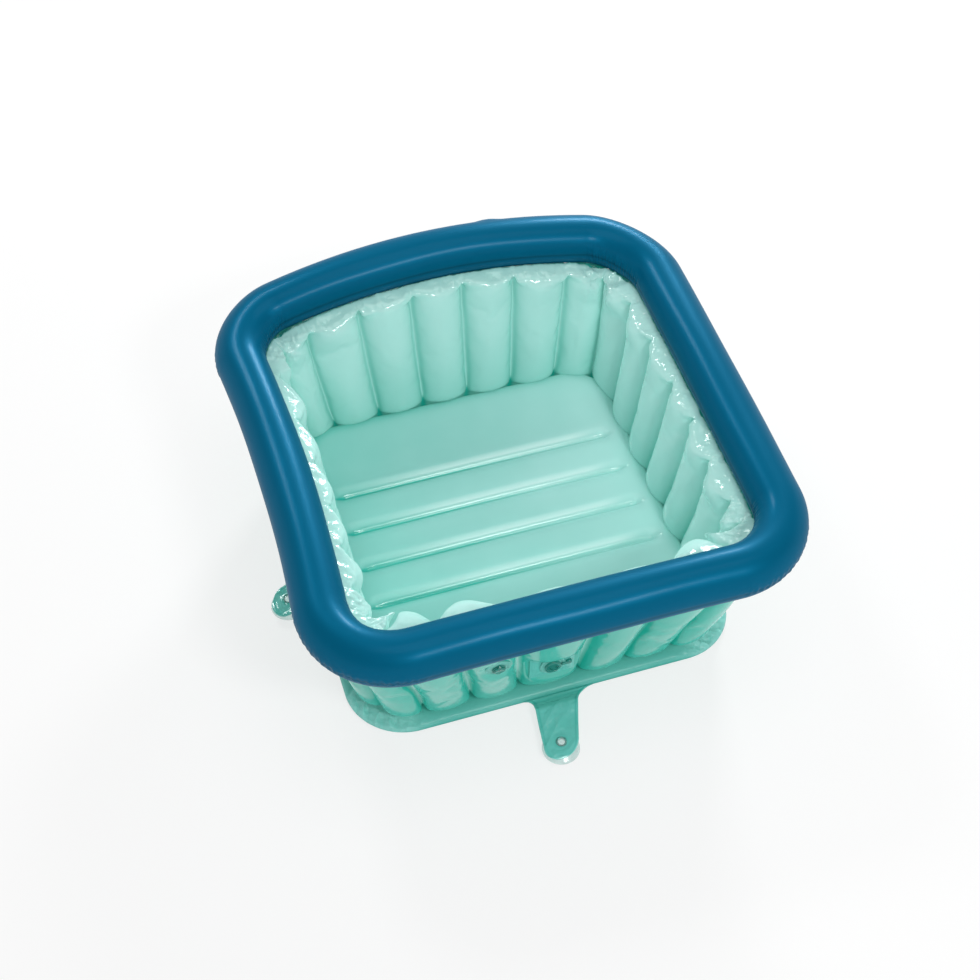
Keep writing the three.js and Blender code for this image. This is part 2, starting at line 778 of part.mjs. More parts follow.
function add(name, geometry, material, placing) {
  const mesh = new THREE.Mesh(geometry, material);
  mesh.name = name;
  if (placing) mesh.applyMatrix4(placing);
  bathtub.add(mesh);
  return mesh;
}

const wallSeat = wallValveSeat();
const ringSeat = ringValveSeat();
const placed = (geometry, placing) => geometry.clone().applyMatrix4(placing);

add("top_ring", cut(ringTube(ringTubeRadius), placed(valvePocket(), ringSeat)), ringBlue());
const frontPockets = drainPocket().map((tool) => placed(tool, drainSeat));
frontPockets.push(placed(valvePocket(), wallSeat));
sideNames.forEach((name, side) => {
  add(`wall_${name}`, wallPanel(side, side === 0 ? frontPockets : []), paleAqua());
});
add("base_band", baseBand(), deepAqua());
add("base_sheet", baseSheet(), deepAqua());
add("floor_pad", floorPad(), floorAqua());

sideNames.forEach((name, side) => {
  const { reach, skewShare, shift } = tabPlans[side];
  const root = new THREE.Vector3(shift, -baseHalf, 0);
  const placing = new THREE.Matrix4().makeRotationZ((side * Math.PI) / 2);
  placing.multiply(new THREE.Matrix4().setPosition(root));
  add(`tab_${name}`, tabSheet(reach, skewShare), deepAqua(), placing);
  const cupPlace = new THREE.Matrix4().setPosition(skewShare * reach, -reach - seatGap, 0);
  add(`suction_cup_${name}`, suctionCup(), clearVinyl(), placing.clone().multiply(cupPlace));
});

[
  ["wall_valve", wallSeat, valveAqua],
  ["ring_valve", ringSeat, ringBlue],
].forEach(([name, seat, material]) => {
  add(`${name}_flange`, valveFlange(), material(), seat);
  add(`${name}_stem`, valveStem(), clearVinyl(), seat);
  add(`${name}_flap`, valveFlap(), clearVinyl(), seat);
  add(`${name}_cap`, valveCap(), clearVinyl(), seat);
});

add("drain_patch", drainPatch(), deepAqua(), drainSeat);
add("drain_outlet", drainOutlet(), valveAqua(), drainSeat);
add("drain_inner_ring", drainInnerRing(), valveAqua(), drainSeat);
add("drain_plug", drainPlug(), clearVinyl(), drainSeat);
add("drain_tether", drainTether(), clearVinyl(), drainSeat);

export default bathtub;
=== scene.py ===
"""Looks of the inflatable bathtub: inflated film, moulded valves, clear suction cups, light and camera."""
import json
import math

import bmesh
import bpy
import numpy as np
from mathutils import Matrix, Vector


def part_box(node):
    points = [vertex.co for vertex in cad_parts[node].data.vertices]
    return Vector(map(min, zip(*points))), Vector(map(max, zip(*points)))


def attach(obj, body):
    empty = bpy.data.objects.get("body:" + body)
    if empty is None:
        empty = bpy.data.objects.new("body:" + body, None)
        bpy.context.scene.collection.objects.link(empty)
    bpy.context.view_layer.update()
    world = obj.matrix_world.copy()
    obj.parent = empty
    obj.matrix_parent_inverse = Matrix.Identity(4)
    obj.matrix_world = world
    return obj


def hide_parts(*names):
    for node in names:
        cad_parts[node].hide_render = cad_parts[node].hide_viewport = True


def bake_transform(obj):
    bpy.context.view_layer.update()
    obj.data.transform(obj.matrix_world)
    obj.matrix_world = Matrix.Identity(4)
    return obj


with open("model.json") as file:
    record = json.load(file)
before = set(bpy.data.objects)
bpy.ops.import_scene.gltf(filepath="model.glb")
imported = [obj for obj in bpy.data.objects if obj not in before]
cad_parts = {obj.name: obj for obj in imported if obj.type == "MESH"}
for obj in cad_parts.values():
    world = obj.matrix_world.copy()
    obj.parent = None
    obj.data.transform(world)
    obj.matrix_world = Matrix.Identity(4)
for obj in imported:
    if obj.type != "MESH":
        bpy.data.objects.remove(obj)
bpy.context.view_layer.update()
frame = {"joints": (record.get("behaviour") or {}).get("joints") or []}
joints = {joint["name"]: joint for joint in frame["joints"]}
full_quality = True

# ---- sizes
GAP = 0.0003

# Top ring
RING_RADIUS = 0.030
RING_HEIGHT = 0.215
RING_SIDES = 72
OUTER_SEAM_ANGLE = -0.12  # radians up from level
RIPPLE_PITCHES = (0.0062, 0.0137)
RING = {
    "half": (0.267, 0.260),
    "shift": -0.0125,
    "height": RING_HEIGHT,
    "corners": (0.080, 0.071, 0.066, 0.090),
    "bows": (-0.003, 0.0024, 0.030, -0.0157),
    "rise": 0.024,
}

# Base and the wall's foot, both square
BASE_HALF = 0.238
BASE_CORNER = 0.072
FOOT_INSET = 0.031
FOOT_HEIGHT = 0.0143
HEAD_INSET = 0.025
HEAD_DROP = 0.014
HEAD_SLIDE = 0.024
FRONT_SPREAD = 0.05
CORNER_SHARE = 0.6
KERB_HEIGHT = 0.042
KERB_SHARE = (KERB_HEIGHT + GAP - FOOT_HEIGHT) / (RING_HEIGHT - HEAD_DROP - FOOT_HEIGHT)

# Ribs
WELD_HALF = 0.001
RIB_BULGE = 0.022
SHOULDER_SWELLS = (1.3, 0.3, 0.15, 0.35)
RIB_PITCH = 0.057
CORNER_LAP = 0.0008
SEAM_END = 0.915  # the share of a rib's height where its seam stops
LEAN_POWER = 1.7
INNER_FOOT_POWER, OUTER_FOOT_POWER, HEAD_POWER = 9, 28, 14
MIDDLE_RIBS = ((-0.0055, 0.073), (-0.014, RIB_PITCH), (0.0025, RIB_PITCH), (0.014, RIB_PITCH))

# The air that fills the films
FILM_GROWTH = 0.009
AIR_PRESSURE = 3.0
FILM_TRAVEL = 0.004
CLOTH_FRAMES = 20
WALL_CREASES = ((0.0019, 0.021, 40), (0.0008, 0.009, 60))  # height, pitch and seed of each

# Floor
BEAM_RISE = 0.008
BEAM_SIDE = 0.0095
FLOOR_HALF = 0.198
FLOOR_LIP = 0.0065
FLOOR_CORNER = 0.052
FLOOR_TOP = 0.052
FLOOR_WELDS = [0.087 - 0.0573 * k for k in range(5)]

# Tabs: reach of the tip circle's middle, slant, place along the side
TAB_PLANS = {
    "front": (0.068, -0.27, 0.0),
    "right": (0.032, 0.0, 0.0),
    "back": (0.068, 0.0, 0.0),
    "left": (0.032, 0.35, 0.008),
}
TAB_THICKNESS = 0.0016
TAB_ROOT_HEIGHT = 0.005
TAB_FOLD = 0.012
TIP_HALF = 0.0212
ROOT_HALVES = (0.031, 0.0255)
FILLETS = (0.010, 0.020)
TAB_BEAD = 0.0030
HOLE_RADIUS = 0.0041
HOLE_BEAD = 0.0078
CUP_RADIUS = 0.022
CUP_DOME = 0.0094
CUP_TOP = CUP_DOME + 0.003 + TAB_THICKNESS

# Valves
VALVE_RADIUS = 0.015
COLLAR_RADIUS = 0.008
STEM_BORE = 0.0034
STEM_DEPTH = 0.022
RIM_TOP = 0.002
CAP_FOOT = 0.0023
HINGE_REACH = 0.0096

# Drain
DRAIN_BORE = 0.007
DRAIN_TUBE = 0.0095
PATCH_SIZE = (0.054, 0.038)
PATCH_THICKNESS = 0.003
PATCH_CORNER = 0.009

SIDES = ("front", "right", "back", "left")


# ---- outlines
def inset_plan(plan, inset, height, share):
    return {
        **plan,
        "half": tuple(h - inset for h in plan["half"]),
        "height": height,
        "corners": tuple(r - share * inset for r in plan["corners"]),
    }


BASE = {
    "half": (BASE_HALF, BASE_HALF),
    "shift": 0.0,
    "height": 0.0,
    "corners": (BASE_CORNER,) * 4,
    "bows": (0, 0, 0, 0),
    "rise": 0.0,
}
WALL_FOOT = inset_plan(BASE, FOOT_INSET, FOOT_HEIGHT, CORNER_SHARE)
WALL_HEAD = inset_plan(RING, HEAD_INSET, RING_HEIGHT - HEAD_DROP, 1)


def corner_of(plan, side, place):
    before, after = plan["corners"][(side + 3) % 4], plan["corners"][side]
    return np.where(np.asarray(place) < 0, before, after)


def outline(plan, side, place):
    """Points on a rounded square: place is 0 at a side's middle, 1 where its corner starts, 2 halfway round it."""
    place = np.asarray(place, float)
    radius = corner_of(plan, side, place)
    across, reach = plan["half"][side % 2], plan["half"][1 - side % 2]
    run = np.minimum(np.abs(place), 1)
    angle = np.maximum(np.abs(place) - 1, 0) * math.pi / 4
    along = np.sign(place) * ((across - radius) * run + radius * np.sin(angle))
    out = reach - radius * (1 - np.cos(angle))
    x = (along, out, -along, -out)[side]
    y = (-out, along, out, -along)[side]
    u, v = x / plan["half"][0], y / plan["half"][1]
    fade_x, fade_y = np.maximum(1 - u * u, 0), np.maximum(1 - v * v, 0)
    swell = [np.maximum(p, 0) ** 3 * (fade_y if k % 2 else fade_x) for k, p in enumerate((-v, u, v, -u))]
    front, right, back, left = (s * b for s, b in zip(swell, plan["bows"]))
    z = plan["height"] + plan["rise"] * swell[2]
    return np.stack([x + right - left, y + plan["shift"] + back - front, z], -1)


def level_out(run):
    """Level directions square to a run of steps."""
    out = np.stack([run[..., 1], -run[..., 0], np.zeros_like(run[..., 0])], -1)
    return out / np.linalg.norm(out, axis=-1, keepdims=True)


def place_of(plan, side, distance):
    """The place on a side at a distance along the outline from its middle."""
    distance = np.asarray(distance, float)
    radius = corner_of(plan, side, distance)
    straight = plan["half"][side % 2] - radius
    beyond = np.abs(distance) - straight
    place = np.where(beyond < 0, np.abs(distance) / straight, 1 + beyond / (radius * math.pi / 4))
    return np.sign(distance) * place


def all_round(plan, places):
    """The same places on all four sides of a plan, one side after another."""
    return np.concatenate([outline(plan, side, places) for side in range(4)])


def travelled(points):
    """How far along a line of points each of them lies."""
    return np.concatenate([[0], np.cumsum(np.linalg.norm(np.diff(points, axis=0), axis=1))])


def outline_round(plan, turn):
    """Points all round a plan, where a turn counts four from one side's middle to the next."""
    points = np.empty(turn.shape + (3,))
    side_here = np.floor((turn + 2) / 4).astype(int)
    for side in range(-1, 5):
        here = side_here == side
        points[here] = outline(plan, side % 4, turn[here] - 4 * side)
    return points


HEAD_TURNS = np.linspace(-6, 18, 4801)
HEAD_TRAVEL = travelled(outline_round(WALL_HEAD, HEAD_TURNS))


def slid_to_back(turn):
    """Where a seam's head meets the ring: the ribs lean towards the back."""
    start, lap = np.interp([0, 16], HEAD_TURNS, HEAD_TRAVEL)
    travel = np.interp(turn, HEAD_TURNS, HEAD_TRAVEL)
    angle = 2 * math.pi * (travel - start) / (lap - start)
    travel = travel + np.sin(angle) * (HEAD_SLIDE + FRONT_SPREAD * np.maximum(np.cos(angle), 0) ** 2)
    return np.interp(travel, HEAD_TRAVEL, HEAD_TURNS)


def wall_point(side, place, share):
    """A place on the wall: upright at the foot, and leaning more towards the head."""
    turn = 4 * side + np.asarray(place, float)
    foot, head, leaning = outline_round(WALL_FOOT, turn), outline_round(WALL_HEAD, turn), slid_to_back(turn)
    share = np.asarray(share)[..., None]
    return foot + (head - foot) * share + (outline_round(WALL_HEAD, leaning) - head) * share**LEAN_POWER


def places_round(corner_steps, side_steps):
    corner = np.arange(corner_steps) / corner_steps
    straight = np.arange(2 * side_steps) / side_steps
    return np.concatenate([-2 + corner, -1 + straight, 1 + corner])


def smooth(low, high, value):
    t = np.clip((np.asarray(value, float) - low) / (high - low), 0, 1)
    return t * t * (3 - 2 * t)


def bell(value, width):
    return np.exp(-((value / width) ** 2))


def folds(points, pitch, number, seed):
    """Sharp-crested creases that cross each other, as in film with more area than its frame."""
    maker = np.random.default_rng(seed)
    warp = np.sin(points @ maker.normal(size=(3, 3)) * 1.3 / pitch + maker.uniform(0, 6, 3)) * pitch * 0.35
    total = np.zeros(points.shape[:-1])
    for _ in range(number):
        way = maker.normal(size=3)
        way *= 2 * math.pi / pitch / np.linalg.norm(way) * maker.uniform(0.5, 1.4)
        total += 1 - 2 * np.abs(np.sin((points + warp) @ way * 0.5 + maker.uniform(0, 6)))
    return total / math.sqrt(number)


# ---- film meshes
def add_object(name, data):
    made = bpy.data.objects.new(name, data)
    bpy.context.scene.collection.objects.link(made)
    return made


def mesh_piece(name, points, faces):
    mesh = bpy.data.meshes.new(name)
    mesh.from_pydata(points.reshape(-1, 3).tolist(), [], faces)
    piece = add_object(name, mesh)
    face_out(piece)
    return piece


def face_out(piece):
    """Turns every face out of the piece, where the volume tells out from in."""
    shell = bmesh.new()
    shell.from_mesh(piece.data)
    bmesh.ops.recalc_face_normals(shell, faces=shell.faces)
    if shell.calc_volume(signed=True) < 0:
        bmesh.ops.reverse_faces(shell, faces=shell.faces)
    shell.to_mesh(piece.data)
    shell.free()
    piece.data.shade_smooth()


def net_faces(number):
    """Quads between the neighbours in a net of point numbers."""
    corners = number[:-1, :-1], number[1:, :-1], number[1:, 1:], number[:-1, 1:]
    return np.stack(corners, -1).reshape(-1, 4).tolist()


def closed(number):
    """A net whose rows come back to their first point."""
    return np.column_stack([number, number[:, 0]])


def loft_faces(sections, count, is_ring):
    """Quads between closed sections of points, and ladders over the ends of an open loft."""
    number = closed(np.arange(sections * count).reshape(sections, count))
    if is_ring:
        return net_faces(np.concatenate([number, number[:1]]))
    faces = net_faces(number)
    ends = number[0, :-1].tolist(), number[-1, -2::-1].tolist()
    rungs = range(count // 2 - 1)
    return faces + [(end[k], end[k + 1], end[-2 - k], end[-1 - k]) for k in rungs for end in ends]


def mark(piece, **fields):
    """Writes numbers at the points, for the looks: seam deepens the colour at seams and as painted shade, crinkle
    creases, and weld pales it as a painted highlight line, or as painted light on the tabs.
    """
    for name, values in fields.items():
        layer = piece.data.attributes.new(name, "FLOAT", "POINT")
        layer.data.foreach_set("value", np.resize(values, len(piece.data.vertices)).astype(np.float32))


def read(source, key, width=3):
    """The numbers that a list of Blender's own keeps under a key."""
    flat = np.empty(len(source) * width, np.float32)
    source.foreach_get(key, flat)
    return flat.reshape(-1, width).astype(float)


def points_of(piece):
    return read(piece.data.vertices, "co")


def set_points(piece, points):
    piece.data.vertices.foreach_set("co", np.asarray(points, np.float32).ravel())
    piece.data.update()


def pick(*pieces):
    bpy.ops.object.select_all(action="DESELECT")
    for piece in pieces:
        piece.select_set(True)
    bpy.context.view_layer.objects.active = pieces[0]


def paint(piece, material):
    piece.data.materials.clear()
    piece.data.materials.append(material)


def finish_with(piece, kind, **settings):
    """Adds a modifier, sets it and applies it."""
    pick(piece)
    modifier = piece.modifiers.new(kind.lower(), kind)
    for key, value in settings.items():
        setattr(modifier, key, value)
    bpy.ops.object.modifier_apply(modifier=modifier.name)
    return piece


def refine(piece):
    finish_with(piece, "SUBSURF", levels=1, render_levels=1)
    piece.data.shade_smooth()
    return piece


def cut(piece, *tools):
    for tool in tools:
        finish_with(piece, "BOOLEAN", operation="DIFFERENCE", object=tool, solver="MANIFOLD")
        bpy.data.objects.remove(tool)
    return piece


def inflate(piece, pinned):
    """Air in a film that is a little too large for its welds, which makes the puckers beside them."""
    rest = points_of(piece)
    welds = piece.vertex_groups.new(name="welds")
    welds.add([int(i) for i in np.flatnonzero(pinned)], 1.0, "REPLACE")
    pick(piece)
    cloth = piece.modifiers.new("air", "CLOTH")
    film = cloth.settings
    film.quality = 6
    film.mass = 0.1
    film.tension_stiffness = film.compression_stiffness = 30
    film.shear_stiffness = 15
    film.bending_stiffness = 0.05
    film.tension_damping = film.compression_damping = 10
    film.air_damping = 4
    film.vertex_group_mass = "welds"
    film.pin_stiffness = 1
    film.use_pressure = True
    film.uniform_pressure_force = AIR_PRESSURE
    film.shrink_min = -FILM_GROWTH
    film.effector_weights.gravity = 0
    cloth.collision_settings.use_collision = False
    cloth.point_cache.frame_start, cloth.point_cache.frame_end = 1, CLOTH_FRAMES
    for number in range(1, CLOTH_FRAMES + 1):
        bpy.context.scene.frame_set(number)
    bpy.ops.object.modifier_apply(modifier="air")
    bpy.context.scene.frame_set(1)
    piece.vertex_groups.clear()
    move = points_of(piece) - rest
    length = np.linalg.norm(move, axis=1, keepdims=True)
    set_points(piece, rest + move * np.minimum(1, FILM_TRAVEL / np.maximum(length, 1e-9)))
    return piece


def crumple(piece, amount, pitch, seed):
    """Creases the film where it is marked to crinkle, along its normals."""
    points = points_of(piece)
    height = folds(points, pitch, 5, seed) + 0.5 * folds(points, pitch * 0.45, 4, seed + 1)
    lift = amount * read(piece.data.attributes["crinkle"].data, "value", 1) * height[:, None]
    set_points(piece, points + read(piece.data.vertex_normals, "vector") * lift)
    return piece


# ---- where the fittings sit
def valve_seat(name):
    """The frame of a valve with +Z out of the tub, worked back from its cap's hinge."""
    pull, hinge = joints[f"{name}_pull"], joints[f"{name}_cap_open"]
    out, right = Vector(pull["axis"]).normalized(), -Vector(hinge["axis"]).normalized()
    rise = out.cross(right)
    place = Vector(hinge["pos_m"]) - rise * HINGE_REACH - out * CAP_FOOT
    return Matrix.Translation(place) @ Matrix((right, rise, out)).transposed().to_4x4()


def drain_seat():
    low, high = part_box("drain_patch")
    place = Vector(((low.x + high.x) / 2, low.y, (low.z + high.z) / 2))
    return Matrix.Translation(place) @ Matrix(((1, 0, 0), (0, 0, 1), (0, -1, 0))).transposed().to_4x4()


WALL_VALVE, RING_VALVE, DRAIN = valve_seat("wall_valve"), valve_seat("ring_valve"), drain_seat()
DRAIN_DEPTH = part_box("drain_outlet")[1].y - DRAIN.translation.y - GAP - 0.0016


def press_flat(piece, seat, near, level, spread, inward=False):
    """Presses film flat under a fitting. Near gives how far outside the fitting a place on its plane lies."""
    turn, place = np.array(seat.to_3x3()), np.array(seat.translation)
    local = (points_of(piece) - place) @ turn
    share = 1 - smooth(0, spread, near(local[:, 0], local[:, 1]))
    height = local[:, 2]
    touched = (height < level * 2 / 3) if inward else (height > -0.02)
    local[:, 2] = np.where(touched, height + (level - height) * share, height)
    set_points(piece, local @ turn.T + place)


def disc_area(radius):
    return lambda x, y: np.hypot(x, y) - radius


def oblong_area(size, corner):
    """How far beyond a rounded oblong a place lies, and less than nothing inside it."""

    def beyond(x, y):
        qx, qy = np.abs(x) - (size[0] / 2 - corner), np.abs(y) - (size[1] / 2 - corner)
        return np.hypot(np.maximum(qx, 0), np.maximum(qy, 0)) + np.minimum(np.maximum(qx, qy), 0) - corner

    return beyond


VALVE_BED = disc_area(VALVE_RADIUS + 0.0015), -0.0021


# ---- ring
def ring_centres(corner_steps, side_steps):
    places = places_round(corner_steps, side_steps)
    step = 0.01
    outward = level_out(all_round(RING, places + step) - all_round(RING, places - step))
    return all_round(RING, places), outward, np.tile(places, 4)


def ring_film():
    centres, outward, places = ring_centres(56, 34)
    angle = np.arange(RING_SIDES) * 2 * math.pi / RING_SIDES
    travel = travelled(centres)
    corner = smooth(0.75, 1.2, np.abs(places))
    off_seam = np.abs(np.angle(np.exp(1j * (angle - OUTER_SEAM_ANGLE))))
    in_seam = np.abs(np.angle(np.exp(1j * (angle - math.pi))))
    fine, coarse = (travel * 2 * math.pi / pitch for pitch in RIPPLE_PITCHES)
    ripple = np.sin(fine) + 0.5 * np.sin(coarse + 1.3)
    pucker = bell(off_seam, 0.2) * 0.0006 + bell(in_seam, 0.34) * 0.0005
    groove = 0.0006 * bell(off_seam, 0.05) + 0.0005 * bell(in_seam, 0.05)
    slow = 0.0003 * np.sin(travel * 2 * math.pi / 0.21)[:, None] * np.cos(2 * angle)[None, :]
    radius = RING_RADIUS - groove[None, :] + corner[:, None] * ripple[:, None] * pucker[None, :] + slow
    across = (radius * np.cos(angle)[None, :])[..., None] * outward[:, None, :]
    up = (radius * np.sin(angle)[None, :])[..., None] * np.array([0, 0, 1.0])
    piece = mesh_piece("ring_film", centres[:, None, :] + across + up, loft_faces(len(centres), RING_SIDES, True))
    near_seams = bell(off_seam, 0.45) + bell(in_seam, 0.6)
    mark(piece, crinkle=corner[:, None] * near_seams[None, :], seam=bell(np.minimum(off_seam, in_seam), 0.06))
    press_flat(piece, RING_VALVE, *VALVE_BED, 0.012)
    return cut(piece, valve_pocket(RING_VALVE))


RING_TRACE = all_round(RING, places_round(24, 24))


def clear_of_ring(piece, gap):
    """Presses film that would enter the ring back onto its surface."""
    points = points_of(piece)
    near = np.flatnonzero(points[:, 2] > RING_HEIGHT - 0.045)
    for start in range(0, len(near), 4000):
        chosen = near[start : start + 4000]
        span = points[chosen, None, :2] - RING_TRACE[None, :, :2]
        centre = RING_TRACE[np.argmin((span**2).sum(-1), axis=1)]
        away = points[chosen] - centre
        length = np.linalg.norm(away, axis=1, keepdims=True)
        push = np.maximum((RING_RADIUS + gap) / np.maximum(length, 1e-6), 1)
        points[chosen] = centre + away * push
    set_points(piece, points)


# ---- wall
def rib_seams(side):
    centre, width = MIDDLE_RIBS[side]
    radius = WALL_FOOT["corners"][0]
    last = WALL_FOOT["half"][0] - radius + radius * math.pi / 4 + CORNER_LAP
    left = [centre - width / 2 - k * RIB_PITCH for k in (2, 1, 0)]
    right = [centre + width / 2 + k * RIB_PITCH for k in (0, 1, 2)]
    return [-last, *left, *right, last]


def spread_rows(start, count):
    """Shares of a rib's height from a start to its head, closer together at both ends."""
    even = np.linspace(0, 1, count)
    return start + (1 - start) * (0.45 * (1 - np.cos(even * math.pi)) / 2 + 0.55 * even)


def fullness(share, foot_power):
    """How far out a rib's skin stands: the higher the power, the boxier that end of the rib."""
    power = np.where(share < 0.5, foot_power, HEAD_POWER)
    return np.sqrt(np.maximum(1 - np.abs(2 * share - 1) ** power, 0))


def wall_film(side, rib_steps=16, rows=48):
    seams = rib_seams(side)
    phase = np.arange(rib_steps) / rib_steps * math.pi
    distance, pinch = [], []
    for start, end in zip(seams, seams[1:]):
        even = start + (end - start) * phase / math.pi
        bunched = start + (end - start) * (1 - np.cos(phase)) / 2
        distance.append(0.5 * even + 0.5 * bunched)
        pinch.append(np.sqrt(np.maximum(1 - (2 * (distance[-1] - start) / (end - start) - 1) ** 2, 0)))
    distance = np.append(np.concatenate(distance), seams[-1])
    pinch = np.append(np.concatenate(pinch), 0)[:, None]
    place = place_of(WALL_FOOT, side, distance)
    corner = smooth(0.9, 1.6, np.abs(place))[:, None]
    free = smooth(0, 0.010, seams[-1] - np.abs(distance))[:, None]
    towards_corner = smooth(0.3, 0.75, np.abs(place) - 0.12 * np.sign(place))
    swell = SHOULDER_SWELLS[side] * (0.2 + 0.8 * towards_corner)[:, None]
    # the seams stop at slightly different heights, and the film gathers above each of them
    rib_number = np.minimum(np.searchsorted(seams[1:-1], distance, side="right"), 6)
    fade = SEAM_END + 0.015 * np.sin(rib_number * 2.4 + side)[:, None]

    def skin(share, foot_power, above, way):
        share = share[None, :]
        held = 1 - smooth(0, 0.06, share - fade)
        shoulder = swell * bell(share - 0.9, 0.085) if way < 0 else 0
        full = pinch if way < 0 else pinch**0.55
        depth = (full * held + (0.82 + 0.18 * full) * (1 - held)) * (1 + shoulder * (0.35 + 0.65 * full))
        half = WELD_HALF + RIB_BULGE * depth * fullness(above, foot_power)[None, :]
        places, shares = np.repeat(place[:, None], share.shape[1], 1), np.repeat(share, len(place), 0)
        step = 0.01
        run = wall_point(side, places + step, shares) - wall_point(side, places - step, shares)
        points = wall_point(side, places, shares) + level_out(run) * (way * half)[..., None]
        head = bell(1 - share, 0.045)
        seam_end = bell(pinch, 0.7) * bell(share - fade - 0.02, 0.05)
        crinkle = head * (0.35 + 0.65 * corner) + 0.45 * seam_end + 0.5 * corner * smooth(0.75, 0.94, share)
        # Painted shade: the colour deepens in the hollows beside each seam and under the ring at the head, low on
        # the inner wall and where it meets the floor, and all over the outer skin, there partly a deeper tone of
        # the film and partly painted shade under the ring; at the seam itself the doubled film is deeper in
        # colour.
        groove = (0.5 * bell(pinch, 0.3) + 0.5 * bell(pinch, 0.62)) * held + 0.3 * head
        low = 0.34 * (1 - smooth(0.1, 0.75, share)) + 0.3 * bell(above[None, :], 0.035)
        film_depth_and_shade = 0.85 * groove + low - 0.05 if way < 0 else 0.88 + 0.3 * groove
        # Painted highlight: a pale line along each seam, where the weld's flat strip would catch the light.
        painted_highlight = bell(pinch, 0.12) * held * smooth(0.03, 0.08, above)[None, :]
        pinned = (pinch < 1e-6) & (held > 0.5)
        pinned[:, [0, -1]] = pinned[[0, -1]] = True
        return points, np.clip(film_depth_and_shade, 0, 1), np.clip(crinkle, 0, 1) * free, painted_highlight, pinned

    outer_share = spread_rows(0, rows)
    inner_share = np.concatenate([[0], spread_rows(KERB_SHARE, rows - 1)])
    outer = skin(outer_share, OUTER_FOOT_POWER, outer_share, 1)
    above_kerb = np.maximum((inner_share - KERB_SHARE) / (1 - KERB_SHARE), 0)
    inner = skin(inner_share, INNER_FOOT_POWER, above_kerb, -1)
    layers = (np.concatenate([o, i[:, ::-1]], axis=1) for o, i in zip(outer, inner))
    sections, seam, crinkle, painted_highlight, pinned = layers
    piece = mesh_piece(f"wall_film_{SIDES[side]}", sections, loft_faces(len(place), 2 * rows, False))
    mark(piece, seam=seam, crinkle=crinkle, weld=painted_highlight)
    return piece, pinned.ravel()


def finished_wall(side):
    piece, welded = wall_film(side)
    if full_quality:
        inflate(piece, welded)
    clear_of_ring(piece, 0.0006)
    refine(piece)
    for crease in WALL_CREASES:
        crumple(piece, *crease)
    clear_of_ring(piece, 0.0004)
    if side == 0:
        press_flat(piece, WALL_VALVE, *VALVE_BED, 0.010)
        under_patch = oblong_area([length + 0.003 for length in PATCH_SIZE], PATCH_CORNER)
        press_flat(piece, DRAIN, under_patch, -PATCH_THICKNESS - 0.0005, 0.011)
        press_flat(piece, DRAIN, disc_area(0.0155), -DRAIN_DEPTH, 0.009, inward=True)
        cut(piece, valve_pocket(WALL_VALVE), rod(DRAIN_TUBE + GAP, -0.08, 0.02, DRAIN))
    piece.data.shade_smooth()
    return piece


# ---- floor and base
def crowded(stops, offsets, spacing):
    """Steps between stops, crowded beside each of them."""
    steps = []
    for low, high in zip(stops, stops[1:]):
        middle = np.linspace(low + offsets[-1], high - offsets[-1], max(3, round((high - low) / spacing)))
        steps += [low + d for d in offsets[:-1]] + list(middle) + [high - d for d in offsets[-2:0:-1]]
    return np.array([*steps, stops[-1]])


